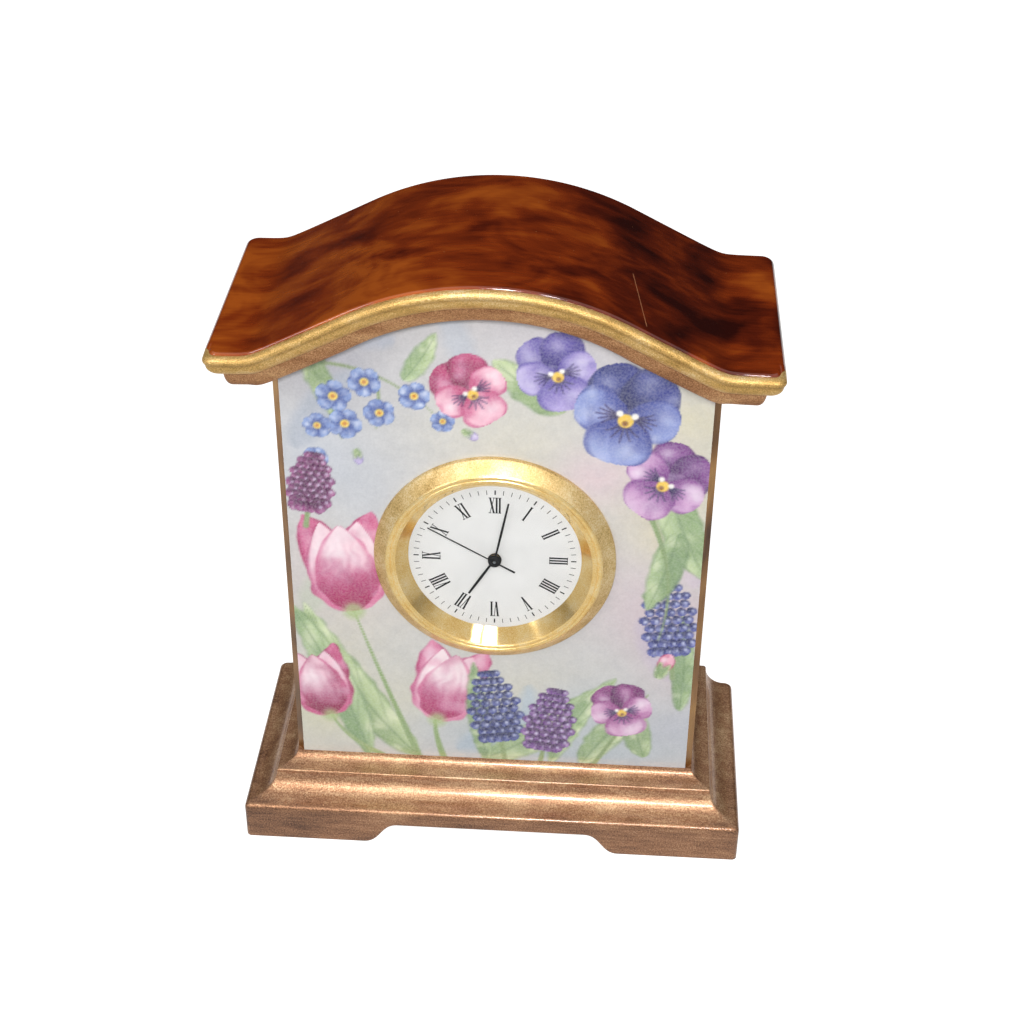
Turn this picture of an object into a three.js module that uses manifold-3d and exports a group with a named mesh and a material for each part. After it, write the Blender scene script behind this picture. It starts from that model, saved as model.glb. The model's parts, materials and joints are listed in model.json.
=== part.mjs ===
// A small porcelain mantel clock: an arched roof, an upright painted body, a moulded base on
// bracket feet, and a press-in quartz insert with its whole movement.
// Millimetres, +Z up, the dial faces -Y, and the origin is under the middle of the base.
import * as THREE from "three";
import { mergeVertices } from "three/addons/utils/BufferGeometryUtils.js";
import Module from "manifold-3d";

const wasm = await Module();
wasm.setup();
const degrees = THREE.MathUtils.degToRad;

// Upright body
const BODY_WIDTH = 63.3;
const BODY_DEPTH = 28.3;
const BODY_BEVEL = 1.0;
const FRONT_WALL = 4.0;
const SIDE_WALL = 3.0;
const BACK_WALL = 4.0;

// Roof: level shoulders, a straight flank and a round crown, with a moulded front and ends
const ROOF_OVERHANG = 7.9;
const SHOULDER_HEIGHT = 89.1;
const ARCH_RISE = 11.6;
const ARCH_RADIUS = 42.0;
const ARCH_FLANK = degrees(27.5);
const ARCH_OFFSET = -0.8;
const SHOULDER_BLEND = 0.6;
const SLOPE_STEP = 0.01;
const BEAD_HEIGHT = 1.9;
const BEAD_DEPTH = 0.9;
const BEAD_END = degrees(50);
const GROOVE_DEPTH = 0.45;
const LIP_HEIGHT = 1.6;
const LIP_DEPTH = 1.8;
const OVOLO_LEDGE = 0.2;
const OVOLO_HEIGHT = 2.6;
const OVOLO_DEPTH = 1.0;
const ROOF_JOINT = 0.12;

// Base: two coves with a fillet between them, a plain band and bracket feet
const BASE_OVERHANG = 7.8;
const BASE_HEIGHT = 12.2;
const UPPER_COVE_HEIGHT = 1.7;
const UPPER_COVE_DEPTH = 3.1;
const STEP_HEIGHT = 0.35;
const LOWER_COVE_HEIGHT = 3.35;
const ARRIS_RADIUS = 0.3;
const BASE_WALL = 3.5;
const BASE_HOLLOW = 5.6;
const FRONT_FOOT = 19.0;
const SIDE_FOOT = 11.0;
const FOOT_RISE = 3.8;
const FOOT_OGEE = 5.5;

// Insert shell: depths are measured back from the front face of the body
const INSERT_HEIGHT = 52.0;
const BEZEL_RADIUS = 18.0;
const BEZEL_COVER = 1.25;
const BEZEL_WIDTH = 3.4;
const BEZEL_RIM = 0.6;
const BEZEL_RISE = 2.4;
const BEZEL_RIDGE = 1.0;
const BEZEL_LIP = 0.2;
const LENS_LEDGE = 1.0;
const CRYSTAL_THICKNESS = 0.7;
const COLLAR_DEPTH = 3.0;
const CUP_WALL = 0.4;
const REFLECTOR_EDGE = 0.1;
const REFLECTOR_WIDTH = 2.25;
const DIAL_THICKNESS = 0.4;
const BAND_FRONT = 0.4;
const BAND_RIBS = 3;
const BAND_PITCH = 0.9;
const BAND_THICKNESS = 0.45;
const BAND_RIB_HEIGHT = 0.45;
const HOLDER_WALL = 0.8;
const COVER_THICKNESS = 0.6;

// Fits between pieces
const SEAT = 0.05;
const FIT = 0.05;
const RUN = 0.08;
const AIR = 0.25;

// Movement plates
const PLATE_RADIUS = 11.2;
const WHEEL_THICKNESS = 0.35;
const PLATE_THICKNESS = 1.0;
const PLATE_MARGIN = 0.15;
const BRIDGE_THICKNESS = 0.7;
const BOSS_RADIUS = 0.75;
const BOSS_SPACE = 0.3;
const ARBOR_RADIUS = 0.22;
const SCREW_RADIUS = 0.34;
const SCREW_HEAD_RADIUS = 0.7;
const SCREW_HEAD_HEIGHT = 0.45;
const SCREW_GRIP = 1.6;
const RIGHT_POST_SPACE = 1.2;
const RIGHT_POST_BEARING = degrees(-25);
const LOWER_POST_BEARING = degrees(-105);
const SLOT_WIDTH = 0.2;
const SLOT_DEPTH = 0.2;

// Wheel train: tooth counts give 30 rotor turns to one of the second hand, 60 to 1 and 12 to 1
const ROTOR_PINION = 8;
const INTERMEDIATE_WHEEL = 48;
const INTERMEDIATE_PINION = 8;
const SECONDS_WHEEL = 40;
const SECONDS_PINION = 6;
const THIRD_WHEEL = 45;
const THIRD_PINION = 6;
const CENTRE_WHEEL = 48;
const CANNON_PINION = 10;
const MINUTE_WHEEL = 30;
const MINUTE_PINION = 8;
const HOUR_WHEEL = 32;
const ROTOR_MODULE = 0.125;
const SECONDS_MODULE = 0.165;
const THIRD_MODULE = 0.15;
const MOTION_MODULE = 0.2;
const THIRD_BEARING = degrees(170);
const INTERMEDIATE_BEARING = degrees(60);
const ROTOR_BEARING = degrees(100);
const MINUTE_BEARING = degrees(-40);

// Tooth form, in modules for heights and in tooth pitches for widths
const TOOTH_TIP = 1.0;
const TOOTH_ROOT = 1.25;
const TIP_HALF_WIDTH = 0.11;
const ROOT_HALF_WIDTH = 0.28;

// Nested arbors and pipes on the dial axis
const CENTRE_PIPE_WALL = 0.12;
const CANNON_PIPE_WALL = 0.13;
const HOUR_PIPE_WALL = 0.12;

// Hands, and the time that they show
const HAND_THICKNESS = 0.15;
const HAND_SPACE = 0.2;
const HUB_WALL = 0.15;
const HOUR_HAND_LENGTH = 7.5;
const HOUR_HAND_WIDTH = 0.4;
const MINUTE_HAND_LENGTH = 10.5;
const MINUTE_HAND_WIDTH = 0.34;
const SECOND_HUB_RADIUS = 0.9;
const SECOND_HAND_LENGTH = 11.4;
const SECOND_HAND_WIDTH = 0.18;
const SECOND_TAIL_LENGTH = 3.5;
const SECOND_TAIL_WIDTH = 0.28;
const NECK_SHARE = 0.75;
const BELLY_SHARE = 0.45;
const HOURS_SHOWN = 7;
const MINUTES_SHOWN = 1;
const SECONDS_SHOWN = 50;

// Stepping motor
const MAGNET_RADIUS = 0.75;
const MAGNET_HEIGHT = 1.0;
const STATOR_THICKNESS = 0.4;
const STATOR_BAND = 1.05;
const STATOR_SPAN = 10.4;
const STATOR_ARM = 1.0;
const COIL_OFFSET = 2.15;
const COIL_RADIUS = 1.0;
const COIL_LENGTH = 6.8;
const CORE_WIDTH = 0.7;

// Cell, clamp and circuit
const CELL_RADIUS = 3.95;
const CELL_HEIGHT = 2.1;
const CELL_RIM = 0.3;
const CELL_EDGE = 0.05;
const CELL_SEAT_RADIUS = 2.6;
const CLAMP_THICKNESS = 0.2;
const CLAMP_WIDTH = 2.2;
const CLAMP_REACH = 2.4;
const BOARD_THICKNESS = 0.4;
const BOARD_INSIDE = 6.3;
const BOARD_START = degrees(132);
const BOARD_END = degrees(202);
const CRYSTAL_CAN_RADIUS = 0.95;
const CRYSTAL_CAN_LENGTH = 5.6;
const CHIP_SIZE = 2.2;
const CHIP_HEIGHT = 0.5;

// Setting stem and crown
const STEM_DEPTH = 5.4;
const STEM_RADIUS = 0.38;
const STEM_INSIDE = 6.5;
const STEM_PINION_RADIUS = 0.75;
const STEM_PINION_LENGTH = 0.7;
const STEM_PULL = 1.0;
const CROWN_RADIUS = 1.4;
const CROWN_LENGTH = 2.3;
const CROWN_GAP = 0.3;
const CROWN_FLUTES = 16;
const CROWN_FLUTE_DEPTH = 0.12;
const CROWN_CREST_SHARE = 0.5;
const BEARING_BLOCK_LENGTH = 2.2;
const BEARING_BLOCK_WIDTH = 2.2;
const BEARING_BLOCK_ROOF = 0.5;

// Facets of round pieces
const RING_SIDES = 40;
const CELL_SIDES = 20;
const BOSS_SIDES = 12;
const ARBOR_SIDES = 10;
const ROOF_STATIONS = 32;
const MOULDING_STEPS = 3;

// Solids: closed meshes in, closed meshes out
const WELD = 1e-5;

function closed(geometry) {
  const loose = geometry.index ? geometry.toNonIndexed() : geometry.clone();
  loose.deleteAttribute("normal");
  loose.deleteAttribute("uv");
  const welded = mergeVertices(loose, WELD);
  const corners = welded.index.array;
  const kept = [];
  for (let i = 0; i < corners.length; i += 3) {
    const [a, b, c] = [corners[i], corners[i + 1], corners[i + 2]];
    if (a !== b && b !== c && c !== a) kept.push(a, b, c);
  }
  welded.setIndex(kept);
  if (volumeOf(welded) < 0) welded.setIndex(kept.reverse());
  return welded;
}

function volumeOf(geometry) {
  const places = geometry.attributes.position;
  const corners = geometry.index.array;
  const [a, b, c] = [new THREE.Vector3(), new THREE.Vector3(), new THREE.Vector3()];
  let total = 0;
  for (let i = 0; i < corners.length; i += 3) {
    a.fromBufferAttribute(places, corners[i]);
    b.fromBufferAttribute(places, corners[i + 1]);
    c.fromBufferAttribute(places, corners[i + 2]);
    total += a.dot(b.cross(c)) / 6;
  }
  return total;
}

function toSolid(geometry) {
  const mesh = closed(geometry);
  const vertProperties = new Float32Array(mesh.attributes.position.array);
  const triVerts = new Uint32Array(mesh.index.array);
  return new wasm.Manifold(new wasm.Mesh({ numProp: 3, vertProperties, triVerts }));
}

function toGeometry(solid) {
  const mesh = solid.getMesh();
  const geometry = new THREE.BufferGeometry();
  geometry.setAttribute("position", new THREE.BufferAttribute(mesh.vertProperties, 3));
  geometry.setIndex([...mesh.triVerts]);
  return geometry;
}

function join(first, ...others) {
  return toGeometry(others.reduce((sum, next) => sum.add(toSolid(next)), toSolid(first)));
}

function cut(first, ...tools) {
  return toGeometry(tools.reduce((rest, tool) => rest.subtract(toSolid(tool)), toSolid(first)));
}

// Basic forms. A depth runs along +Y from a front to a back; a place in the dial plane is (x, z).
function polar(radius, angle) {
  return new THREE.Vector2(radius * Math.cos(angle), radius * Math.sin(angle));
}

function plate(outline, front, back) {
  const options = { depth: back - front, bevelEnabled: false };
  return new THREE.ExtrudeGeometry(outline, options).rotateX(Math.PI / 2).translate(0, back, 0);
}

function rod(radius, front, back, place = new THREE.Vector2(), sides = ARBOR_SIDES) {
  const cylinder = new THREE.CylinderGeometry(radius, radius, back - front, sides);
  return cylinder.translate(place.x, (front + back) / 2, place.y);
}

function crossRod(radius, left, right, depth, height, sides = ARBOR_SIDES) {
  const cylinder = new THREE.CylinderGeometry(radius, radius, right - left, sides);
  return cylinder.rotateZ(Math.PI / 2).translate((left + right) / 2, depth, height);
}

function block(left, right, front, back, bottom, top) {
  const box = new THREE.BoxGeometry(right - left, back - front, top - bottom);
  return box.translate((left + right) / 2, (front + back) / 2, (bottom + top) / 2);
}

function turned(profile, sides = RING_SIDES) {
  const points = profile.map(([radius, depth]) => new THREE.Vector2(radius, depth));
  points.push(points[0].clone());
  return new THREE.LatheGeometry(points, sides);
}

// Points of a quarter ellipse between two corners, leaving the first one along the drop
function quarter(fromInset, fromDrop, toInset, toDrop, hollow = false) {
  return Array.from({ length: MOULDING_STEPS + 1 }, (_, step) => {
    const turn = (step / MOULDING_STEPS) * Math.PI / 2;
    const inset = hollow ? Math.cos(turn) : 1 - Math.cos(turn);
    const along = hollow ? toInset + (fromInset - toInset) * inset
      : fromInset + (toInset - fromInset) * inset;
    return [along, fromDrop + (toDrop - fromDrop) * Math.sin(turn)];
  });
}

// A block whose front and ends follow one moulding profile of [inset, drop] points, under a top
// whose height varies along X; its back is cut off flat
function mouldedBlock(halfLength, front, back, stations, profile, heightAt) {
  const positions = [];
  const ringSize = 2 * (stations + 1);
  for (const [inset, drop] of profile) {
    for (let i = 0; i < ringSize; i++) {
      const atBack = i > stations;
      const along = atBack ? 2 * stations + 1 - i : i;
      const x = (2 * along / stations - 1) * (halfLength - inset);
      const y = atBack ? 2 * back - front - inset : front + inset;
      positions.push(x, y, heightAt(x, drop));
    }
  }
  const index = [];
  for (let layer = 0; layer + 1 < profile.length; layer++) {
    for (let i = 0; i < ringSize; i++) {
      const next = (i + 1) % ringSize;
      const [a, b] = [layer * ringSize + i, layer * ringSize + next];
      index.push(a, a + ringSize, b, b, a + ringSize, b + ringSize);
    }
  }
  const last = (profile.length - 1) * ringSize;
  for (let i = 0; i < stations; i++) {
    const [front, back] = [i, ringSize - 1 - i];
    index.push(front, front + 1, back, front + 1, back - 1, back);
    index.push(last + front, last + back, last + front + 1);
    index.push(last + front + 1, last + back, last + back - 1);
  }
  const geometry = new THREE.BufferGeometry();
  geometry.setAttribute("position", new THREE.Float32BufferAttribute(positions, 3));
  geometry.setIndex(index);
  const [beyond, above] = [3 * back - 2 * front, 2 * SHOULDER_HEIGHT];
  return cut(geometry, block(-2 * halfLength, 2 * halfLength, back, beyond, -above, above));
}

// The case stands with its overhanging front edge and its flat back at equal distances from the origin
const bodyBack = (BODY_DEPTH + ROOF_OVERHANG) / 2;
const bodyFront = bodyBack - BODY_DEPTH;

// Roof
const roofThickness = BEAD_HEIGHT + LIP_HEIGHT + OVOLO_HEIGHT;

function roofTop(x) {
  const aside = Math.abs(x - ARCH_OFFSET);
  const reach = ARCH_RADIUS * Math.sin(ARCH_FLANK);
  const crown = SHOULDER_HEIGHT + ARCH_RISE - ARCH_RADIUS;
  const onArc = crown + Math.sqrt(ARCH_RADIUS ** 2 - Math.min(aside, reach) ** 2);
  const arch = onArc - Math.max(aside - reach, 0) * Math.tan(ARCH_FLANK);
  return (SHOULDER_HEIGHT + arch + Math.hypot(SHOULDER_HEIGHT - arch, SHOULDER_BLEND)) / 2;
}

function underRoof(x, drop) {
  const slope = (roofTop(x + SLOPE_STEP) - roofTop(x - SLOPE_STEP)) / (2 * SLOPE_STEP);
  return roofTop(x) - drop * Math.hypot(1, slope);
}

function roofCap() {
  const bead = Array.from({ length: MOULDING_STEPS + 2 }, (_, step) => {
    const turn = -Math.PI / 2 + (step / (MOULDING_STEPS + 1)) * (BEAD_END + Math.PI / 2);
    return [BEAD_DEPTH * (1 - Math.cos(turn)), BEAD_HEIGHT / 2 * (1 + Math.sin(turn))];
  });
  const lipEnd = GROOVE_DEPTH + LIP_DEPTH;
  const lip = quarter(GROOVE_DEPTH, BEAD_HEIGHT, lipEnd, BEAD_HEIGHT + LIP_HEIGHT);
  const ovoloStart = lipEnd + OVOLO_LEDGE;
  const ovolo = quarter(ovoloStart, BEAD_HEIGHT + LIP_HEIGHT, ovoloStart + OVOLO_DEPTH, roofThickness);
  const halfLength = BODY_WIDTH / 2 + ROOF_OVERHANG;
  const profile = [...bead, ...lip, ...ovolo];
  return mouldedBlock(halfLength, bodyFront - ROOF_OVERHANG, bodyBack, ROOF_STATIONS, profile, underRoof);
}

// Body: an upright tube with bevelled front edges, cut to the arch of the roof
const hollowSide = BODY_WIDTH / 2 - SIDE_WALL;
const hollowFront = bodyFront + FRONT_WALL;
const hollowBack = bodyBack - BACK_WALL;

function caseBody() {
  const side = BODY_WIDTH / 2;
  const plan = new THREE.Shape([
    new THREE.Vector2(-side + BODY_BEVEL, bodyFront), new THREE.Vector2(side - BODY_BEVEL, bodyFront),
    new THREE.Vector2(side, bodyFront + BODY_BEVEL), new THREE.Vector2(side, bodyBack),
    new THREE.Vector2(-side, bodyBack), new THREE.Vector2(-side, bodyFront + BODY_BEVEL),
  ]);
  plan.holes.push(new THREE.Path([
    new THREE.Vector2(-hollowSide, hollowFront), new THREE.Vector2(-hollowSide, hollowBack),
    new THREE.Vector2(hollowSide, hollowBack), new THREE.Vector2(hollowSide, hollowFront),
  ]));
  const top = SHOULDER_HEIGHT + ARCH_RISE;
  const tube = new THREE.ExtrudeGeometry(plan, { depth: top - BASE_HEIGHT, bevelEnabled: false });
  tube.translate(0, 0, BASE_HEIGHT);
  const above = [
    new THREE.Vector2(BODY_WIDTH, top + BASE_HEIGHT),
    new THREE.Vector2(-BODY_WIDTH, top + BASE_HEIGHT),
  ];
  for (let i = 0; i <= ROOF_STATIONS; i++) {
    const x = (2 * i / ROOF_STATIONS - 1) * (side + ROOF_OVERHANG);
    above.push(new THREE.Vector2(x, underRoof(x, roofThickness) - ROOF_JOINT));
  }
  const [before, behind] = [bodyFront - ROOF_OVERHANG, bodyBack + ROOF_OVERHANG];
  const overhead = plate(new THREE.Shape(above), before, behind);
  const place = new THREE.Vector2(0, INSERT_HEIGHT);
  const apertureRadius = BEZEL_RADIUS - BEZEL_COVER;
  const apertureBack = (hollowFront + hollowBack) / 2;
  const aperture = rod(apertureRadius, before, apertureBack, place, RING_SIDES);
  return cut(tube, overhead, aperture);
}

// Base: moulded block, hollow underneath, with the foot openings cut along both axes
function footOpening(halfSpan, foot) {
  const corner = halfSpan - foot;
  const shoulder = corner - FOOT_OGEE;
  const middle = (corner + shoulder) / 2;
  const opening = new THREE.Shape();
  opening.moveTo(-corner, -FOOT_RISE);
  opening.lineTo(corner, -FOOT_RISE);
  opening.lineTo(corner, 0);
  opening.bezierCurveTo(middle, 0, middle, FOOT_RISE, shoulder, FOOT_RISE);
  opening.lineTo(-shoulder, FOOT_RISE);
  opening.bezierCurveTo(-middle, FOOT_RISE, -middle, 0, -corner, 0);
  return opening;
}

function basePlinth() {
  const halfLength = BODY_WIDTH / 2 + BASE_OVERHANG;
  const front = bodyFront - BASE_OVERHANG;
  const stepInset = BASE_OVERHANG - UPPER_COVE_DEPTH;
  const stepBottom = UPPER_COVE_HEIGHT + STEP_HEIGHT;
  const coveBottom = stepBottom + LOWER_COVE_HEIGHT;
  const profile = [
    ...quarter(BASE_OVERHANG, 0, stepInset, UPPER_COVE_HEIGHT, true),
    ...quarter(stepInset, stepBottom, ARRIS_RADIUS, coveBottom, true),
    [0, coveBottom + ARRIS_RADIUS],
    [0, BASE_HEIGHT],
  ];
  const outside = mouldedBlock(halfLength, front, bodyBack, 1, profile, (x, drop) => BASE_HEIGHT - drop);
  const inLength = halfLength - BASE_WALL;
  const [inFront, inBack] = [front + BASE_WALL, bodyBack - BASE_WALL];
  const underside = block(-inLength, inLength, inFront, inBack, -BASE_HEIGHT, BASE_HOLLOW);
  const well = block(-hollowSide, hollowSide, hollowFront, hollowBack, -BASE_HEIGHT, 2 * BASE_HEIGHT);
  const frontOpening = footOpening(halfLength, FRONT_FOOT);
  const sideOpening = footOpening((bodyBack - front) / 2, SIDE_FOOT);
  const throughDepth = plate(frontOpening, front - BASE_OVERHANG, bodyBack + BASE_OVERHANG);
  const throughLength = plate(sideOpening, -BODY_WIDTH - halfLength, BODY_WIDTH + halfLength);
  throughLength.rotateZ(Math.PI / 2).translate(0, (front + bodyBack) / 2, 0);
  return cut(outside, underside, well, throughDepth, throughLength);
}

// Insert shell, turned about the dial axis: the rim sets the collar, the movement sets the can
const lensRadius = BEZEL_RADIUS - BEZEL_WIDTH;
const collarRadius = lensRadius + LENS_LEDGE;
const collarInside = collarRadius - CUP_WALL;
const holderInside = PLATE_RADIUS + PLATE_MARGIN;
const canInside = holderInside + HOLDER_WALL + RUN;
const canRadius = canInside + CUP_WALL;
const lipBack = -BEZEL_RISE + BEZEL_LIP;
const crystalFront = lipBack + SEAT;
const crystalBack = crystalFront + CRYSTAL_THICKNESS;
const collarFront = crystalBack + SEAT;
const shelfBack = COLLAR_DEPTH + CUP_WALL;
const dialBack = DIAL_THICKNESS;

function insertBezel() {
  const bore = collarRadius + FIT;
  const ridge = lensRadius + BEZEL_RIDGE;
  return turned([
    [BEZEL_RADIUS, -SEAT], [BEZEL_RADIUS, -BEZEL_RIM],
    [ridge + BEZEL_RIDGE / 2, BEZEL_LIP - BEZEL_RISE], [ridge, -BEZEL_RISE],
    [lensRadius + BEZEL_LIP, -BEZEL_RISE], [lensRadius, BEZEL_LIP / 2 - BEZEL_RISE],
    [lensRadius, lipBack], [bore, lipBack], [bore, -SEAT],
  ]);
}

function crystal() {
  return rod(collarRadius - SEAT, crystalFront, crystalBack, undefined, RING_SIDES);
}

function insertCup(stemHole) {
  const canBack = coverBack;
  return cut(turned([
    [collarInside, collarFront], [collarRadius, collarFront], [collarRadius, shelfBack],
    [canRadius, shelfBack], [canRadius, canBack], [canInside, canBack],
    [canInside, COLLAR_DEPTH], [collarInside, COLLAR_DEPTH],
  ]), stemHole);
}

function reflectorRing() {
  const outside = collarInside - FIT;
  return turned([
    [outside, collarFront], [outside, -SEAT],
    [outside - REFLECTOR_WIDTH, -SEAT], [outside - REFLECTOR_EDGE, collarFront],
  ]);
}

function dial() {
  const bore = hourPipe.outside + RUN;
  return turned([[bore, 0], [collarInside - RUN, 0], [collarInside - RUN, dialBack], [bore, dialBack]]);
}

function retainingBand() {
  const inside = collarRadius + FIT;
  const valley = inside + BAND_THICKNESS;
  const profile = [[inside, BAND_FRONT], [valley, BAND_FRONT]];
  for (let rib = 0; rib < BAND_RIBS; rib++) {
    const start = BAND_FRONT + rib * BAND_PITCH;
    profile.push([valley + BAND_RIB_HEIGHT, start + BAND_PITCH / 2], [valley, start + BAND_PITCH]);
  }
  profile.push([inside, BAND_FRONT + BAND_RIBS * BAND_PITCH]);
  return turned(profile);
}

function movementHolder(stemHole) {
  const flange = collarInside - RUN;
  const barrel = canInside - RUN;
  return cut(turned([
    [holderInside, dialBack + SEAT], [flange, dialBack + SEAT], [flange, COLLAR_DEPTH - SEAT],
    [barrel, COLLAR_DEPTH - SEAT], [barrel, coverFront - SEAT], [holderInside, coverFront - SEAT],
  ]), stemHole);
}

function backCover() {
  return rod(canInside - RUN, coverFront, coverBack, undefined, RING_SIDES);
}

// Layers of the movement, from the dial to the back
const hourLayer = layerAfter(dialBack, WHEEL_THICKNESS);
const minuteLayer = layerAfter(hourLayer.back, WHEEL_THICKNESS);
const plateLayer = layerAfter(minuteLayer.back, PLATE_THICKNESS);
const centreLayer = layerAfter(plateLayer.back, WHEEL_THICKNESS);
const thirdLayer = layerAfter(centreLayer.back, WHEEL_THICKNESS);
const secondsLayer = layerAfter(thirdLayer.back, WHEEL_THICKNESS);
const intermediateLayer = layerAfter(secondsLayer.back, WHEEL_THICKNESS);
const bridgeLayer = layerAfter(intermediateLayer.back, BRIDGE_THICKNESS);
const cellLayer = layerAfter(secondsLayer.back, CELL_HEIGHT);
const clampLayer = { front: cellLayer.back + SEAT, back: cellLayer.back + SEAT + CLAMP_THICKNESS };
const coverFront = Math.max(clampLayer.back, bridgeLayer.back) + SCREW_HEAD_HEIGHT + AIR;
const coverBack = coverFront + COVER_THICKNESS;

function layerAfter(depth, thickness) {
  return { front: depth + AIR, back: depth + AIR + thickness };
}

// Places of the axes in the dial plane. Both gear pairs of the third wheel share one distance.
const centre = new THREE.Vector2();
const thirdDistance = THIRD_MODULE * (SECONDS_PINION + THIRD_WHEEL) / 2;
const centreModule = 2 * thirdDistance / (THIRD_PINION + CENTRE_WHEEL);
const third = polar(thirdDistance, THIRD_BEARING);
const intermediateDistance = SECONDS_MODULE * (SECONDS_WHEEL + INTERMEDIATE_PINION) / 2;
const intermediate = polar(intermediateDistance, INTERMEDIATE_BEARING);
const rotorDistance = ROTOR_MODULE * (ROTOR_PINION + INTERMEDIATE_WHEEL) / 2;
const rotorAxis = intermediate.clone().add(polar(rotorDistance, ROTOR_BEARING));
const minuteAxis = polar(MOTION_MODULE * (CANNON_PINION + MINUTE_WHEEL) / 2, MINUTE_BEARING);
const cell = new THREE.Vector2(0, CELL_RADIUS + CELL_EDGE - PLATE_RADIUS);

function tipRadius(teeth, module) {
  return module * (teeth / 2 + TOOTH_TIP);
}

// The upper one of the two points at given distances from two places
function between(first, firstDistance, second, secondDistance) {
  const line = second.clone().sub(first);
  const length = line.length();
  const along = (firstDistance ** 2 - secondDistance ** 2 + length ** 2) / (2 * length);
  const across = Math.sqrt(firstDistance ** 2 - along ** 2);
  const unit = line.normalize();
  return new THREE.Vector2(
    first.x + unit.x * along - unit.y * across,
    first.y + unit.y * along + unit.x * across,
  );
}

const thirdClear = tipRadius(THIRD_WHEEL, THIRD_MODULE) + BOSS_RADIUS + BOSS_SPACE;
const intermediateClear = tipRadius(INTERMEDIATE_WHEEL, ROTOR_MODULE) + BOSS_RADIUS + BOSS_SPACE;
const centreClear = tipRadius(CENTRE_WHEEL, centreModule) + BOSS_RADIUS + BOSS_SPACE;
const bridgePosts = [
  between(third, thirdClear, intermediate, intermediateClear),
  polar(centreClear + RIGHT_POST_SPACE, RIGHT_POST_BEARING),
  third.clone().add(polar(thirdClear, LOWER_POST_BEARING)),
];
const clampPosts = [-1, 1].map((side) => new THREE.Vector2(side * (CELL_RADIUS + CLAMP_REACH), cell.y));
const coilHeight = rotorAxis.y + COIL_OFFSET;
const statorReach = (STATOR_SPAN - STATOR_ARM) / 2;
const statorPosts = [-1, 1].map((side) => new THREE.Vector2(side * statorReach, coilHeight));
const boardPosts = [BOARD_START, BOARD_END].map((edge, index) => {
  const inward = (index === 0 ? 1 : -1) * Math.asin(2 * BOSS_RADIUS / PLATE_RADIUS);
  return polar(PLATE_RADIUS - 2 * BOSS_RADIUS, edge + inward);
});

// Gears: straight-sided teeth on a disc, turned so that a tooth or a gap meets its neighbour
function gear(teeth, module, phase, front, back) {
  const pitch = 2 * Math.PI / teeth;
  const [root, tip] = [module * (teeth / 2 - TOOTH_ROOT), tipRadius(teeth, module)];
  const flanks = [
    [root, -ROOT_HALF_WIDTH], [tip, -TIP_HALF_WIDTH],
    [tip, TIP_HALF_WIDTH], [root, ROOT_HALF_WIDTH],
  ];
  const points = [];
  for (let tooth = 0; tooth < teeth; tooth++) {
    for (const [radius, offset] of flanks) {
      points.push(polar(radius, phase + (tooth + offset) * pitch));
    }
  }
  return plate(new THREE.Shape(points), front, back);
}

function meshedPhase(driverTeeth, driverPhase, drivenTeeth, bearing) {
  const driverOffset = (bearing - driverPhase) * driverTeeth / drivenTeeth;
  return bearing + Math.PI - Math.PI / drivenTeeth + driverOffset;
}

function pinionOver(layer, teeth, module, phase) {
  return gear(teeth, module, phase, layer.front - AIR / 2, layer.back + AIR / 2);
}

const secondsPhase = 0;
const thirdPhase = meshedPhase(SECONDS_PINION, secondsPhase, THIRD_WHEEL, THIRD_BEARING);
const centrePhase = meshedPhase(THIRD_PINION, thirdPhase, CENTRE_WHEEL, THIRD_BEARING + Math.PI);
const intermediatePhase = meshedPhase(
  SECONDS_WHEEL, secondsPhase, INTERMEDIATE_PINION, INTERMEDIATE_BEARING,
);
const rotorPhase = meshedPhase(INTERMEDIATE_WHEEL, intermediatePhase, ROTOR_PINION, ROTOR_BEARING);
const cannonPhase = 0;
const minutePhase = meshedPhase(CANNON_PINION, cannonPhase, MINUTE_WHEEL, MINUTE_BEARING);
const hourPhase = meshedPhase(MINUTE_PINION, minutePhase, HOUR_WHEEL, MINUTE_BEARING + Math.PI);

// Pipes on the dial axis, each running over the one inside it
const centrePipe = pipeOver(ARBOR_RADIUS, CENTRE_PIPE_WALL);
const cannonPipe = pipeOver(centrePipe.outside, CANNON_PIPE_WALL);
const hourPipe = pipeOver(cannonPipe.outside, HOUR_PIPE_WALL);
const hourHandBack = -HAND_SPACE - RUN;
const hourHandFront = hourHandBack - HAND_THICKNESS;
const minuteHandBack = hourHandFront - HAND_SPACE;
const minuteHandFront = minuteHandBack - HAND_THICKNESS;
const secondHandBack = minuteHandFront - HAND_SPACE;
const secondHandFront = secondHandBack - HAND_THICKNESS;

function pipeOver(core, wall) {
  return { inside: core + RUN, outside: core + RUN + wall };
}

function hollow(pipe, front, back) {
  return rod(pipe.inside, front - AIR, back + AIR);
}

function rotor() {
  const magnetFront = plateLayer.back + AIR;
  return join(
    rod(ARBOR_RADIUS, plateLayer.front, bridgeLayer.back),
    rod(MAGNET_RADIUS, magnetFront, magnetFront + MAGNET_HEIGHT, centre, BOSS_SIDES),
    pinionOver(intermediateLayer, ROTOR_PINION, ROTOR_MODULE, rotorPhase),
  );
}

function intermediateWheel() {
  const { front, back } = intermediateLayer;
  return join(
    rod(ARBOR_RADIUS, plateLayer.front, bridgeLayer.back),
    pinionOver(secondsLayer, INTERMEDIATE_PINION, SECONDS_MODULE, intermediatePhase),
    gear(INTERMEDIATE_WHEEL, ROTOR_MODULE, intermediatePhase, front, back),
  );
}

function secondsWheel() {
  return join(
    rod(ARBOR_RADIUS, secondHandFront, bridgeLayer.back),
    pinionOver(thirdLayer, SECONDS_PINION, THIRD_MODULE, secondsPhase),
    gear(SECONDS_WHEEL, SECONDS_MODULE, secondsPhase, secondsLayer.front, secondsLayer.back),
  );
}

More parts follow.
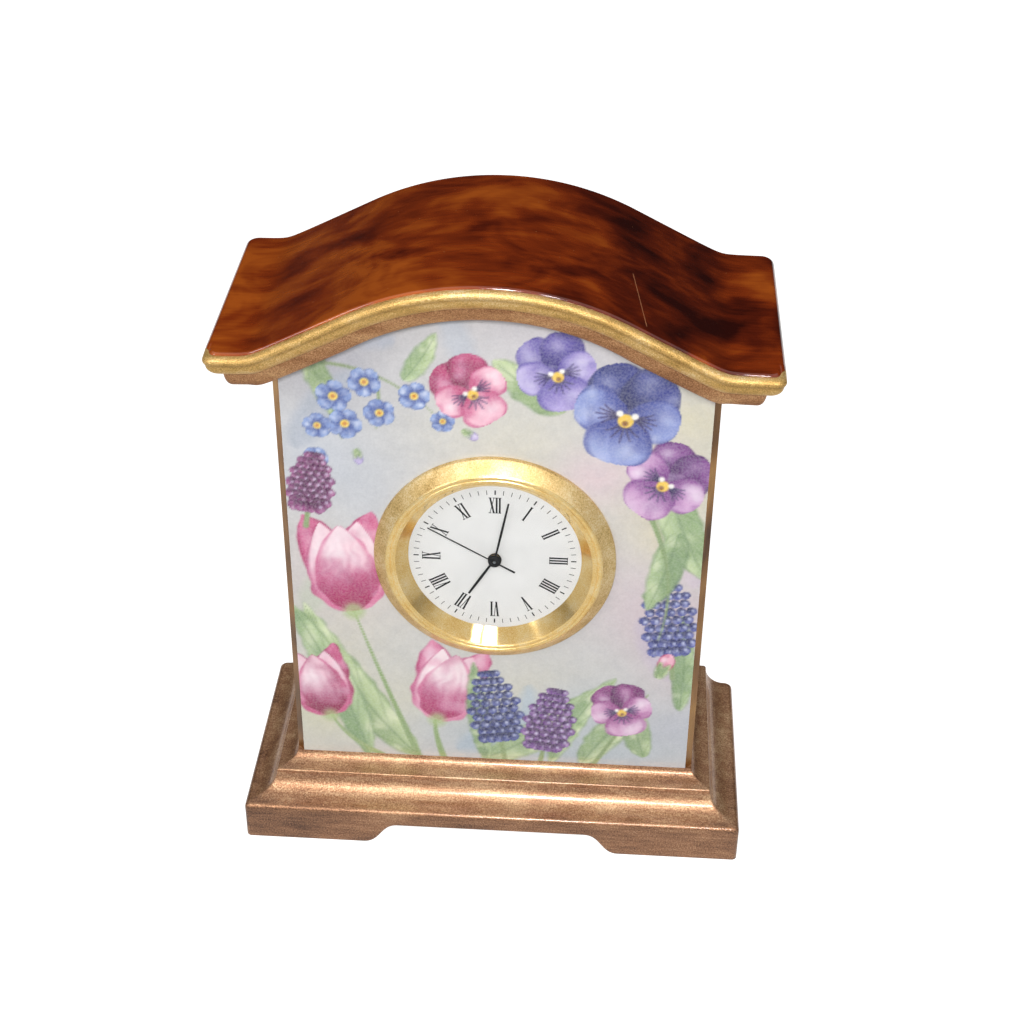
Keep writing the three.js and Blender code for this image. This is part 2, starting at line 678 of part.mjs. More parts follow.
function thirdWheel() {
  return join(
    rod(ARBOR_RADIUS, plateLayer.front, bridgeLayer.back),
    pinionOver(centreLayer, THIRD_PINION, centreModule, thirdPhase),
    gear(THIRD_WHEEL, THIRD_MODULE, thirdPhase, thirdLayer.front, thirdLayer.back),
  );
}

function centreWheel() {
  const disc = gear(CENTRE_WHEEL, centreModule, centrePhase, centreLayer.front, centreLayer.back);
  const pipe = rod(centrePipe.outside, minuteHandFront, centreLayer.back);
  return cut(join(disc, pipe), hollow(centrePipe, minuteHandFront, centreLayer.back));
}

function cannonPinion() {
  const back = plateLayer.front - SEAT;
  const leaves = gear(CANNON_PINION, MOTION_MODULE, cannonPhase, minuteLayer.front - AIR / 2, back);
  const pipe = rod(cannonPipe.outside, minuteHandFront, back);
  return cut(join(leaves, pipe), hollow(cannonPipe, minuteHandFront, back));
}

function minuteWheel() {
  return join(
    rod(ARBOR_RADIUS, hourLayer.front, plateLayer.back),
    pinionOver(hourLayer, MINUTE_PINION, MOTION_MODULE, minutePhase),
    gear(MINUTE_WHEEL, MOTION_MODULE, minutePhase, minuteLayer.front, minuteLayer.back),
  );
}

function hourWheel() {
  const disc = gear(HOUR_WHEEL, MOTION_MODULE, hourPhase, hourLayer.front, hourLayer.back);
  const pipe = rod(hourPipe.outside, hourHandFront, hourLayer.back);
  return cut(join(disc, pipe), hollow(hourPipe, hourHandFront, hourLayer.back));
}

// Hands point to twelve here and are turned to the time when they are placed
function batonHand(length, width, bore, back) {
  const front = back - HAND_THICKNESS;
  const hub = bore + HUB_WALL;
  const neck = width * NECK_SHARE / 2;
  const blade = new THREE.Shape([
    new THREE.Vector2(-neck, bore), new THREE.Vector2(neck, bore),
    new THREE.Vector2(width / 2, length * BELLY_SHARE), new THREE.Vector2(neck, length),
    new THREE.Vector2(-neck, length), new THREE.Vector2(-width / 2, length * BELLY_SHARE),
  ]);
  const ring = join(rod(hub, front, back, centre, BOSS_SIDES), plate(blade, front, back));
  return cut(ring, rod(bore, front - AIR, back + AIR));
}

function secondHand() {
  const bore = ARBOR_RADIUS + FIT;
  const [needle, tail] = [SECOND_HAND_WIDTH / 2, SECOND_TAIL_WIDTH / 2];
  const blade = new THREE.Shape([
    new THREE.Vector2(-tail, -SECOND_TAIL_LENGTH), new THREE.Vector2(tail, -SECOND_TAIL_LENGTH),
    new THREE.Vector2(needle, 0), new THREE.Vector2(needle * NECK_SHARE, SECOND_HAND_LENGTH),
    new THREE.Vector2(-needle * NECK_SHARE, SECOND_HAND_LENGTH), new THREE.Vector2(-needle, 0),
  ]);
  const hub = rod(SECOND_HUB_RADIUS, secondHandFront, secondHandBack, centre, BOSS_SIDES);
  const whole = join(hub, plate(blade, secondHandFront, secondHandBack));
  return cut(whole, rod(bore, secondHandFront - AIR, secondHandBack + AIR));
}

// Plates of the movement
function boss(place, back, radius = BOSS_RADIUS) {
  return rod(radius, (plateLayer.front + plateLayer.back) / 2, back, place, BOSS_SIDES);
}

function screwHole(place, front, back) {
  return rod(SCREW_RADIUS + RUN, front, back, place);
}

function pivotHole(place, layer) {
  return rod(ARBOR_RADIUS + RUN, layer.front - AIR, layer.back + AIR, place);
}

const statorLayer = layerAfter(plateLayer.back + AIR, STATOR_THICKNESS);
const boardLayer = { front: bridgeLayer.front, back: bridgeLayer.front + BOARD_THICKNESS };
const blockBack = STEM_DEPTH + STEM_RADIUS + BEARING_BLOCK_ROOF;
const blockLeft = STEM_INSIDE + STEM_PINION_LENGTH + STEM_PULL + RUN;

function mainPlate() {
  const half = BEARING_BLOCK_WIDTH / 2;
  const blockRight = blockLeft + BEARING_BLOCK_LENGTH;
  const bearing = block(blockLeft, blockRight, plateLayer.front + AIR, blockBack, -half, half);
  const body = join(
    rod(PLATE_RADIUS, plateLayer.front, plateLayer.back, centre, RING_SIDES),
    ...bridgePosts.map((place) => boss(place, bridgeLayer.front - SEAT)),
    ...clampPosts.map((place) => boss(place, clampLayer.front - SEAT)),
    ...statorPosts.map((place) => boss(place, statorLayer.front - SEAT)),
    ...boardPosts.map((place) => boss(place, boardLayer.front - SEAT)),
    boss(cell, cellLayer.front - SEAT, CELL_SEAT_RADIUS),
    bearing,
  );
  const centreHole = rod(centrePipe.outside + RUN, plateLayer.front - AIR, plateLayer.back + AIR);
  return cut(
    body,
    centreHole,
    ...[third, intermediate, rotorAxis, minuteAxis].map((place) => pivotHole(place, plateLayer)),
    ...bridgePosts.map((place) => screwHole(place, bridgeLayer.front - SCREW_GRIP - AIR, bridgeLayer.back)),
    ...clampPosts.map((place) => screwHole(place, clampLayer.front - SCREW_GRIP - AIR, clampLayer.back)),
    ...statorPosts.map((place) => screwHole(place, plateLayer.front - AIR, statorLayer.back)),
    crossRod(STEM_RADIUS + RUN, STEM_INSIDE, PLATE_RADIUS, STEM_DEPTH, 0),
  );
}

function trainBridge() {
  const margin = 2 * BOSS_RADIUS;
  const corners = [
    new THREE.Vector2(bridgePosts[2].x - BOSS_RADIUS, bridgePosts[2].y - BOSS_RADIUS),
    new THREE.Vector2(bridgePosts[1].x, bridgePosts[1].y - BOSS_RADIUS),
    new THREE.Vector2(bridgePosts[1].x + BOSS_RADIUS, bridgePosts[1].y + BOSS_RADIUS),
    new THREE.Vector2(intermediate.x + margin, intermediate.y),
    new THREE.Vector2(rotorAxis.x + BOSS_RADIUS, rotorAxis.y + BOSS_RADIUS),
    new THREE.Vector2(rotorAxis.x - BOSS_RADIUS, rotorAxis.y + BOSS_RADIUS),
    new THREE.Vector2(bridgePosts[0].x - BOSS_RADIUS, bridgePosts[0].y + BOSS_RADIUS),
    new THREE.Vector2(bridgePosts[2].x - BOSS_RADIUS, third.y + BOSS_RADIUS),
  ];
  return cut(
    plate(new THREE.Shape(corners), bridgeLayer.front, bridgeLayer.back),
    rod(CELL_RADIUS + AIR, bridgeLayer.front - AIR, bridgeLayer.back + AIR, cell, RING_SIDES),
    ...[centre, third, intermediate, rotorAxis].map((place) => pivotHole(place, bridgeLayer)),
    ...bridgePosts.map((place) => screwHole(place, bridgeLayer.front - AIR, bridgeLayer.back + AIR)),
  );
}

function screw(headFront, length) {
  const headBack = headFront + SCREW_HEAD_HEIGHT;
  const body = join(
    rod(SCREW_HEAD_RADIUS, headFront, headBack, centre, BOSS_SIDES),
    rod(SCREW_RADIUS, headFront - length, headFront + SLOT_DEPTH / 2),
  );
  const half = SLOT_WIDTH / 2;
  const reach = SCREW_HEAD_RADIUS + AIR;
  return cut(body, block(-reach, reach, headBack - SLOT_DEPTH, headBack + AIR, -half, half));
}

// Stepping motor
function stator() {
  const [outer, inner] = [STATOR_SPAN / 2, STATOR_SPAN / 2 - STATOR_ARM];
  const top = coilHeight + STATOR_ARM / 2;
  const bandTop = rotorAxis.y + MAGNET_RADIUS + STATOR_ARM / 2;
  const bandBottom = rotorAxis.y - STATOR_BAND;
  const outline = new THREE.Shape([
    new THREE.Vector2(-outer, bandBottom), new THREE.Vector2(outer, bandBottom),
    new THREE.Vector2(outer, top), new THREE.Vector2(inner, top), new THREE.Vector2(inner, bandTop),
    new THREE.Vector2(-inner, bandTop), new THREE.Vector2(-inner, top), new THREE.Vector2(-outer, top),
  ]);
  const [front, back] = [statorLayer.front - AIR, statorLayer.back + AIR];
  return cut(
    plate(outline, statorLayer.front, statorLayer.back),
    rod(MAGNET_RADIUS + AIR, front, back, rotorAxis, BOSS_SIDES),
    ...statorPosts.map((place) => screwHole(place, front, back)),
  );
}

const padFront = statorLayer.back + SEAT;
const coilDepth = padFront + COIL_RADIUS + RUN;
const padBack = coilDepth + CORE_WIDTH / 2;

function coilCore() {
  const half = CORE_WIDTH / 2;
  const reach = STATOR_SPAN / 2;
  const pads = [-1, 1].map((side) => {
    const [near, far] = [side * (reach - STATOR_ARM), side * reach];
    const [low, high] = [coilHeight - STATOR_ARM / 2, coilHeight + STATOR_ARM / 2];
    return block(Math.min(near, far), Math.max(near, far), padFront, padBack, low, high);
  });
  const bar = block(-reach, reach, coilDepth - half, padBack, coilHeight - half, coilHeight + half);
  const holes = statorPosts.map((place) => screwHole(place, padFront - AIR, padBack + AIR));
  return cut(join(bar, ...pads), ...holes);
}

function driveCoil() {
  const half = CORE_WIDTH / 2 + FIT;
  const end = COIL_LENGTH / 2;
  const reach = end + AIR;
  const winding = crossRod(COIL_RADIUS, -end, end, coilDepth, coilHeight, BOSS_SIDES);
  const [front, back] = [coilDepth - half, coilDepth + half];
  return cut(winding, block(-reach, reach, front, back, coilHeight - half, coilHeight + half));
}

// Cell, clamp and circuit
function buttonCell() {
  const [front, back] = [cellLayer.front, cellLayer.back];
  return turned([
    [0, front], [CELL_RADIUS - 2 * CELL_RIM, front], [CELL_RADIUS - CELL_RIM, front + CELL_RIM],
    [CELL_RADIUS, front + CELL_RIM], [CELL_RADIUS, back - CELL_RIM],
    [CELL_RADIUS - CELL_RIM, back], [0, back],
  ], CELL_SIDES).translate(cell.x, 0, cell.y);
}

function cellClamp() {
  const [left, right] = clampPosts;
  const half = CLAMP_WIDTH / 2;
  const end = BOSS_RADIUS;
  const [low, high] = [cell.y - half, cell.y + half];
  const strap = new THREE.Shape([
    new THREE.Vector2(left.x - end, low + end), new THREE.Vector2(left.x, low),
    new THREE.Vector2(right.x, low), new THREE.Vector2(right.x + end, low + end),
    new THREE.Vector2(right.x + end, high - end), new THREE.Vector2(right.x, high),
    new THREE.Vector2(left.x, high), new THREE.Vector2(left.x - end, high - end),
  ]);
  return cut(
    plate(strap, clampLayer.front, clampLayer.back),
    ...clampPosts.map((place) => screwHole(place, clampLayer.front - AIR, clampLayer.back + AIR)),
  );
}

function circuitBoard() {
  const rim = PLATE_RADIUS - PLATE_MARGIN;
  const edge = Array.from({ length: BOSS_SIDES + 1 }, (_, step) =>
    polar(rim, BOARD_START + (BOARD_END - BOARD_START) * step / BOSS_SIDES));
  const low = new THREE.Vector2(-BOARD_INSIDE, edge.at(-1).y / 2);
  const high = new THREE.Vector2(-BOARD_INSIDE, edge[0].y);
  return plate(new THREE.Shape([...edge, low, high]), boardLayer.front, boardLayer.back);
}

const boardMiddle = (BOARD_INSIDE + PLATE_RADIUS) / 2;

function quartzCan() {
  const half = CRYSTAL_CAN_LENGTH / 2;
  const can = new THREE.CylinderGeometry(CRYSTAL_CAN_RADIUS, CRYSTAL_CAN_RADIUS, 2 * half, BOSS_SIDES);
  return can.rotateX(Math.PI / 2).translate(-boardMiddle, boardLayer.back + SEAT + CRYSTAL_CAN_RADIUS, 0);
}

function timingChip() {
  const front = boardLayer.back + SEAT;
  const low = CRYSTAL_CAN_LENGTH / 2 + AIR;
  return block(-BOARD_INSIDE - CHIP_SIZE, -BOARD_INSIDE, front, front + CHIP_HEIGHT, low, low + CHIP_SIZE);
}

// Setting stem and crown, on the right of the movement
const crownLeft = canRadius + CROWN_GAP;

function stemHole() {
  return crossRod(STEM_RADIUS + RUN, PLATE_RADIUS, crownLeft, STEM_DEPTH, 0);
}

function windingStem() {
  return join(
    crossRod(STEM_RADIUS, STEM_INSIDE, crownLeft - SEAT, STEM_DEPTH, 0),
    crossRod(STEM_PINION_RADIUS, STEM_INSIDE, STEM_INSIDE + STEM_PINION_LENGTH, STEM_DEPTH, 0, ARBOR_SIDES),
  );
}

function crown() {
  const pitch = 2 * Math.PI / CROWN_FLUTES;
  const crest = CROWN_CREST_SHARE * pitch;
  const points = [];
  for (let flute = 0; flute < CROWN_FLUTES; flute++) {
    const middle = flute * pitch;
    points.push(polar(CROWN_RADIUS, middle - crest / 2));
    points.push(polar(CROWN_RADIUS, middle + crest / 2));
    points.push(polar(CROWN_RADIUS - CROWN_FLUTE_DEPTH, middle + pitch / 2));
  }
  const options = { depth: CROWN_LENGTH, bevelEnabled: false };
  const knob = new THREE.ExtrudeGeometry(new THREE.Shape(points), options);
  return knob.rotateY(Math.PI / 2).translate(crownLeft, STEM_DEPTH, 0);
}

// Finishes: colour, roughness, metalness
const GOLD_LUSTRE = [0xa5734a, 0.38, 0.7];
const BROWN_GLAZE = [0x5a230f, 0.15, 0.0];
const PALE_GLAZE = [0xd8d8dc, 0.12, 0.0];
const BRASS = [0xd2a85a, 0.3, 0.9];
const GLASS = [0xf4f8fa, 0.05, 0.0];
const GLASS_OPACITY = 0.25;
const DIAL_WHITE = [0xf2f2ee, 0.6, 0.0];
const HAND_BLACK = [0x141414, 0.4, 0.3];
const BLACK_RUBBER = [0x1c1c1c, 0.8, 0.0];
const CREAM_PLASTIC = [0xe2ddd0, 0.5, 0.0];
const STEEL = [0xb8bcc0, 0.3, 0.9];
const COPPER = [0xb4612f, 0.45, 0.6];
const BOARD_GREEN = [0x1f5a3a, 0.5, 0.0];

const clock = new THREE.Group();
const insert = new THREE.Group();
insert.position.set(0, bodyFront, INSERT_HEIGHT);
clock.add(insert);

function add(parent, name, geometry, [color, roughness, metalness], place = centre) {
  const material = new THREE.MeshStandardMaterial({ color, roughness, metalness, flatShading: true });
  const piece = new THREE.Mesh(closed(geometry), material);
  piece.name = name;
  piece.position.set(place.x, 0, place.y);
  parent.add(piece);
  return piece;
}

add(clock, "roof_cap", roofCap(), BROWN_GLAZE);
add(clock, "case_body", caseBody(), PALE_GLAZE);
add(clock, "base_plinth", basePlinth(), GOLD_LUSTRE);

add(insert, "insert_bezel", insertBezel(), BRASS);
const lens = add(insert, "crystal", crystal(), GLASS);
lens.material.transparent = true;
lens.material.opacity = GLASS_OPACITY;
add(insert, "reflector_ring", reflectorRing(), BRASS);
add(insert, "dial", dial(), DIAL_WHITE);
add(insert, "insert_cup", insertCup(stemHole()), BRASS);
add(insert, "retaining_band", retainingBand(), BLACK_RUBBER);
add(insert, "movement_holder", movementHolder(stemHole()), CREAM_PLASTIC);
add(insert, "back_cover", backCover(), STEEL);

add(insert, "main_plate", mainPlate(), CREAM_PLASTIC);
add(insert, "train_bridge", trainBridge(), CREAM_PLASTIC);
add(insert, "stator", stator(), STEEL);
add(insert, "coil_core", coilCore(), STEEL);
add(insert, "drive_coil", driveCoil(), COPPER);
add(insert, "button_cell", buttonCell(), STEEL);
add(insert, "cell_clamp", cellClamp(), BRASS);
add(insert, "circuit_board", circuitBoard(), BOARD_GREEN);
add(insert, "quartz_can", quartzCan(), STEEL);
add(insert, "timing_chip", timingChip(), BLACK_RUBBER);

const bridgeHead = bridgeLayer.back + SEAT;
const clampHead = clampLayer.back + SEAT;
const statorHead = padBack + SEAT;
bridgePosts.forEach((place, index) => {
  add(insert, `bridge_screw_${index + 1}`, screw(bridgeHead, BRIDGE_THICKNESS + SCREW_GRIP), STEEL, place);
});
clampPosts.forEach((place, index) => {
  add(insert, `clamp_screw_${index + 1}`, screw(clampHead, CLAMP_THICKNESS + SCREW_GRIP), STEEL, place);
});
statorPosts.forEach((place, index) => {
  add(insert, `stator_screw_${index + 1}`, screw(statorHead, statorHead - plateLayer.back), STEEL, place);
});

add(insert, "rotor", rotor(), STEEL, rotorAxis);
add(insert, "intermediate_wheel", intermediateWheel(), CREAM_PLASTIC, intermediate);
add(insert, "seconds_wheel", secondsWheel(), STEEL);
add(insert, "third_wheel", thirdWheel(), CREAM_PLASTIC, third);
add(insert, "centre_wheel", centreWheel(), BRASS);
add(insert, "cannon_pinion", cannonPinion(), BRASS);
add(insert, "minute_wheel", minuteWheel(), CREAM_PLASTIC, minuteAxis);
add(insert, "hour_wheel", hourWheel(), BRASS);
add(insert, "winding_stem", windingStem(), STEEL);
add(insert, "crown", crown(), BRASS);

const secondTurn = SECONDS_SHOWN / 60;
const minuteTurn = (MINUTES_SHOWN + secondTurn) / 60;
const hourTurn = (HOURS_SHOWN + minuteTurn) / 12;
const hourBore = hourPipe.outside + FIT;
const minuteBore = cannonPipe.outside + FIT;
const hourHand = batonHand(HOUR_HAND_LENGTH, HOUR_HAND_WIDTH, hourBore, hourHandBack);
const minuteHand = batonHand(MINUTE_HAND_LENGTH, MINUTE_HAND_WIDTH, minuteBore, minuteHandBack);
add(insert, "hour_hand", hourHand, HAND_BLACK).rotation.y = 2 * Math.PI * hourTurn;
add(insert, "minute_hand", minuteHand, HAND_BLACK).rotation.y = 2 * Math.PI * minuteTurn;
add(insert, "second_hand", secondHand(), HAND_BLACK).rotation.y = 2 * Math.PI * secondTurn;

export default clock;
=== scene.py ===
# A small porcelain mantel clock with an arched brown roof, a flower-painted body, a gold-lustre
# base on bracket feet and a press-in quartz insert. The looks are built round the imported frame.
import json
import math

import bmesh
import bpy
import numpy as np
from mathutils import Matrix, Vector


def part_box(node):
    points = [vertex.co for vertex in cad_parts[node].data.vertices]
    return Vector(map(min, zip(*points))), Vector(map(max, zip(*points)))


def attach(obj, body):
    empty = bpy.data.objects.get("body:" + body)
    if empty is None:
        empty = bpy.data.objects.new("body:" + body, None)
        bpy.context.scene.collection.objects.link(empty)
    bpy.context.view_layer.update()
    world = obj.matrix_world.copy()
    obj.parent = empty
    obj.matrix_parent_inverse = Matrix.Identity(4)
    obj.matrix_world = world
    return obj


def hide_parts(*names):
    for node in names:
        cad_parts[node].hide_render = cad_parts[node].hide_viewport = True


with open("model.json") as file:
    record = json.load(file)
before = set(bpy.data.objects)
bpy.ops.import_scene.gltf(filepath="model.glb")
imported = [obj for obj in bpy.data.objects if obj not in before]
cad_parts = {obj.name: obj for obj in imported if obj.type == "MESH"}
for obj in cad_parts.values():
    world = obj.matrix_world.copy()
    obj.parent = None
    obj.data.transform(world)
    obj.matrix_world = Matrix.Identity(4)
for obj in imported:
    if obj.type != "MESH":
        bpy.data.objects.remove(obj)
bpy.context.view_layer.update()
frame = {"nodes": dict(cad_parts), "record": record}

# Camera: held a little to the right of the clock and above it, looking down at the dial.
# Its place, tilt and lens come from fitting the corners of the case to the photograph.
MM = 0.001
SENSOR = 36.0
FOCAL_PIXELS = 1870.6
PICTURE_PIXELS = 1024
CAMERA_PLACE = (15.01 * MM, -234.59 * MM, 215.40 * MM)
CAMERA_TURN = (math.pi / 2 - 0.6036, -0.0093, 0.0622)

camera = bpy.data.objects.new("camera", bpy.data.cameras.new("camera"))
camera.data.sensor_width = SENSOR
camera.data.lens = FOCAL_PIXELS / PICTURE_PIXELS * SENSOR
camera.data.clip_start = 0.01
camera.location = CAMERA_PLACE
camera.rotation_euler = CAMERA_TURN
bpy.context.scene.collection.objects.link(camera)
bpy.context.scene.camera = camera

# Base plinth: a slip-cast porcelain block with two coves, a plain band, four bracket feet and a
# flat back. It is hollow underneath, open up into the body, and covered with worn gold lustre.
BASE_LOW, BASE_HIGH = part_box("base_plinth")
BODY_LOW, BODY_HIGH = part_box("case_body")
BASE_HALF_X = BASE_HIGH.x / MM
BASE_FRONT, BASE_BACK = BASE_LOW.y / MM, BASE_HIGH.y / MM
BASE_HEIGHT = BASE_HIGH.z / MM
BODY_HALF_X = BODY_HIGH.x / MM
BODY_FRONT, BODY_BACK = BODY_LOW.y / MM, BODY_HIGH.y / MM
BASE_OVERHANG = BASE_HALF_X - BODY_HALF_X
UPPER_COVE_HEIGHT, UPPER_COVE_DEPTH = 1.7, 3.1
STEP_HEIGHT = 0.35
LOWER_COVE_HEIGHT = 3.35
STEP_TOP = BASE_HEIGHT - UPPER_COVE_HEIGHT
STEP_LOW = STEP_TOP - STEP_HEIGHT
ARRIS_TOP = STEP_LOW - LOWER_COVE_HEIGHT
STEP_ROUND = 0.3
ARRIS_ROUND = 0.75
FOOT_ROUND = 0.3
BASE_WALL = 3.5
BASE_HOLLOW = 5.6
FRONT_FOOT, SIDE_FOOT = 19.0, 11.0
FOOT_RISE, FOOT_OGEE = 3.8, 5.5
CORNER_ROUND, CORNER_FADE, LEAST_CORNER = 0.7, 0.1, 0.15
INNER_CORNER = 0.5
BACK_LEAN = 0.02
SIDE_WALL, FRONT_WALL, BACK_WALL = 3.0, 4.0, 4.0
WELL_SIDE = BODY_HALF_X - SIDE_WALL
WELL_FRONT, WELL_BACK = BODY_FRONT + FRONT_WALL, BODY_BACK - BACK_WALL
TOLERANCE = 1e-6
MERGE_DISTANCE = 1e-4 * MM


def linear(code):
    """A colour code as linear red, green, blue and alpha."""
    parts = [(code >> shift & 255) / 255 for shift in (16, 8, 0)]
    return (*[p / 12.92 if p <= 0.04045 else ((p + 0.055) / 1.055) ** 2.4 for p in parts], 1.0)


class Value:
    """One socket of a node tree. Sums on it add Math nodes."""

    def __init__(self, graph, socket):
        self.graph = graph
        self.socket = socket

    def math(self, operation, first, second=0.0):
        """Adds a Math node to the tree."""
        return self.graph.node("ShaderNodeMath", {"operation": operation}, {0: first, 1: second})

    def __add__(self, other):
        return self.math("ADD", self, other)

    def __radd__(self, other):
        return self.math("ADD", other, self)

    def __sub__(self, other):
        return self.math("SUBTRACT", self, other)

    def __rsub__(self, other):
        return self.math("SUBTRACT", other, self)

    def __mul__(self, other):
        return self.math("MULTIPLY", self, other)

    def __rmul__(self, other):
        return self.math("MULTIPLY", other, self)

    def between(self, low, high, start=0.0, end=1.0):
        """Rises smoothly from start to end as the value goes from low to high."""
        limits = {0: self, 1: low, 2: high, 3: start, 4: end}
        return self.graph.node("ShaderNodeMapRange", {"interpolation_type": "SMOOTHSTEP"}, limits)


class Graph:
    """A node tree, of a material, a mesh maker or the sky."""

    def __init__(self, tree):
        self.tree = tree

    def node(self, kind, settings, inputs, output=0):
        """Adds a node with its settings, then the values or links of its sockets."""
        made = self.tree.nodes.new(kind)
        for name, value in settings.items():
            if name == "stops":
                ramp = made.color_ramp.elements
                for _ in range(len(value) - len(ramp)):
                    ramp.new(1.0)
                for element, (place, code) in zip(ramp, value):
                    element.position = place
                    element.color = linear(code)
            else:
                setattr(made, name, value)
        for socket, value in inputs.items():
            if isinstance(value, Value):
                self.tree.links.new(value.socket, made.inputs[socket])
            else:
                made.inputs[socket].default_value = value
        return Value(self, made.outputs[output])


class Finish(Graph):
    """A procedural material. Its constants are set on the shader and the rest comes from nodes."""

    def __init__(self, name, **constants):
        self.material = bpy.data.materials.new(name)
        self.material.use_nodes = True
        super().__init__(self.material.node_tree)
        self.shader = self.tree.nodes["Principled BSDF"]
        for socket, value in constants.items():
            self.shader.inputs[socket.replace("_", " ")].default_value = value

    def place(self, stretch=(1.0, 1.0, 1.0)):
        """Object coordinates in millimetres, stretched along an axis where a grain runs along it."""
        spot = self.node("ShaderNodeTexCoord", {}, {}, "Object")
        scale = tuple(1.0 / MM / part for part in stretch)
        return self.node("ShaderNodeVectorMath", {"operation": "MULTIPLY"}, {0: spot, 1: scale})

    def axis(self, name):
        """One object coordinate in millimetres."""
        return self.node("ShaderNodeSeparateXYZ", {}, {0: self.place()}, name)

    def noise(self, size, detail=3.0, rough=0.5, twist=0.0, stretch=(1.0, 1.0, 1.0)):
        """Noise whose features measure about size millimetres, from 0 to 1."""
        inputs = {"Vector": self.place(stretch), "Scale": 1.0 / size, "Detail": detail}
        return self.node("ShaderNodeTexNoise", {}, {**inputs, "Roughness": rough, "Distortion": twist})

    def ramp(self, value, *stops):
        """A colour that follows a value through (place, colour code) stops."""
        return self.node("ShaderNodeValToRGB", {"stops": stops}, {0: value})

    def mix(self, share, first, second):
        """A colour part of the way from the first to the second."""
        return self.node("ShaderNodeMix", {"data_type": "RGBA"}, {0: share, 6: first, 7: second}, 2)

    def attribute(self, name, output="Fac"):
        """A value or colour that the mesh keeps under a name."""
        return self.node("ShaderNodeAttribute", {"attribute_name": name}, {}, output)

    def bump(self, height, depth, strength=1.0):
        """Feeds a relief of depth millimetres to the shader's normal."""
        inputs = {"Strength": strength, "Distance": depth * MM, "Height": height}
        self.set("Normal", self.node("ShaderNodeBump", {}, inputs))

    def set(self, socket, value):
        """Links a value to a socket of the shader."""
        self.tree.links.new(value.socket, self.shader.inputs[socket])


def add_piece(name, points, faces, *finishes):
    """A mesh piece from points in millimetres, with its finishes in slots."""
    mesh = bpy.data.meshes.new(name)
    mesh.from_pydata([tuple(point) for point in np.asarray(points) * MM], [], faces)
    for finish in finishes:
        mesh.materials.append(finish.material)
    piece = bpy.data.objects.new(name, mesh)
    bpy.context.scene.collection.objects.link(piece)
    return piece


def smooth(piece, angle):
    """Merges doubles, turns the faces outwards and shades smooth up to an angle."""
    shell = bmesh.new()
    shell.from_mesh(piece.data)
    bmesh.ops.remove_doubles(shell, verts=shell.verts, dist=MERGE_DISTANCE)
    bmesh.ops.dissolve_degenerate(shell, edges=shell.edges, dist=MERGE_DISTANCE)
    bmesh.ops.recalc_face_normals(shell, faces=shell.faces)
    shell.to_mesh(piece.data)
    shell.free()
    piece.data.shade_smooth()
    piece.data.set_sharp_from_angle(angle=math.radians(angle))
    return piece


def ring(half_x, front, back, corner, along_x=180, along_y=80, along_corner=6):
    """Plan points round a rectangle with round corners, the same number for every size."""
    half_y = (back - front) / 2
    corner = min(corner, half_x, half_y)
    flat_x, flat_y = half_x - corner, half_y - corner
    steps_x = np.linspace(-flat_x, flat_x, along_x)
    steps_y = np.linspace(-flat_y, flat_y, along_y)
    parts = []
    for quarter in range(4):
        side = steps_y if quarter % 2 else steps_x
        reach = half_x if quarter % 2 else half_y
        run = np.column_stack([side, np.full(len(side), -reach)])
        far = (flat_y, -flat_x) if quarter % 2 else (flat_x, -flat_y)
        turn = np.linspace(-math.pi / 2, 0, along_corner + 2)[1:-1]
        arc = np.column_stack([far[0] + corner * np.cos(turn), far[1] + corner * np.sin(turn)])
        both = np.vstack([run, arc])
        cosine, sine = [(1, 0), (0, 1), (-1, 0), (0, -1)][quarter]
        parts.append(np.column_stack([both[:, 0] * cosine - both[:, 1] * sine,
                                      both[:, 0] * sine + both[:, 1] * cosine]))
    plan = np.vstack(parts)
    plan[:, 1] += (front + back) / 2
    return plan


def loft(rings, joined):
    """Faces between rings of equal length. Joined rings close on the first one."""
    count = len(rings[0])
    faces = []
    for layer in range(len(rings) if joined else len(rings) - 1):
        start, after = layer * count, (layer + 1) % len(rings) * count
        for i in range(count):
            j = (i + 1) % count
            faces.append((start + i, start + j, after + j, after + i))
    return np.vstack(rings), faces


def cove(start, end, steps=14):
    """A hollow quarter that leaves the first point straight down and arrives level."""
    wide, tall = start[0] - end[0], end[1] - start[1]
    turn = np.linspace(0, math.pi / 2, steps)
    return [(end[0] + wide * math.cos(t), start[1] + tall * math.sin(t)) for t in turn]


def round_over(start, end, steps=6):
    """A rounded quarter that leaves the first point level and arrives straight down."""
    wide, tall = end[0] - start[0], start[1] - end[1]
    turn = np.linspace(0, math.pi / 2, steps)
    return [(start[0] + wide * math.sin(t), end[1] + tall * math.cos(t)) for t in turn]


def foot_rise(across, half_span, foot):
    """Height of the opening between two feet: level in the middle, an ogee down to each foot."""
    share = np.linspace(0, 1, 60)
    run = 1.5 * share * (1 - share) + share ** 3
    rise = share ** 2 * (3 - 2 * share)
    from_foot = (half_span - foot - np.abs(across)) / FOOT_OGEE
    return FOOT_RISE * np.interp(from_foot, run, rise)


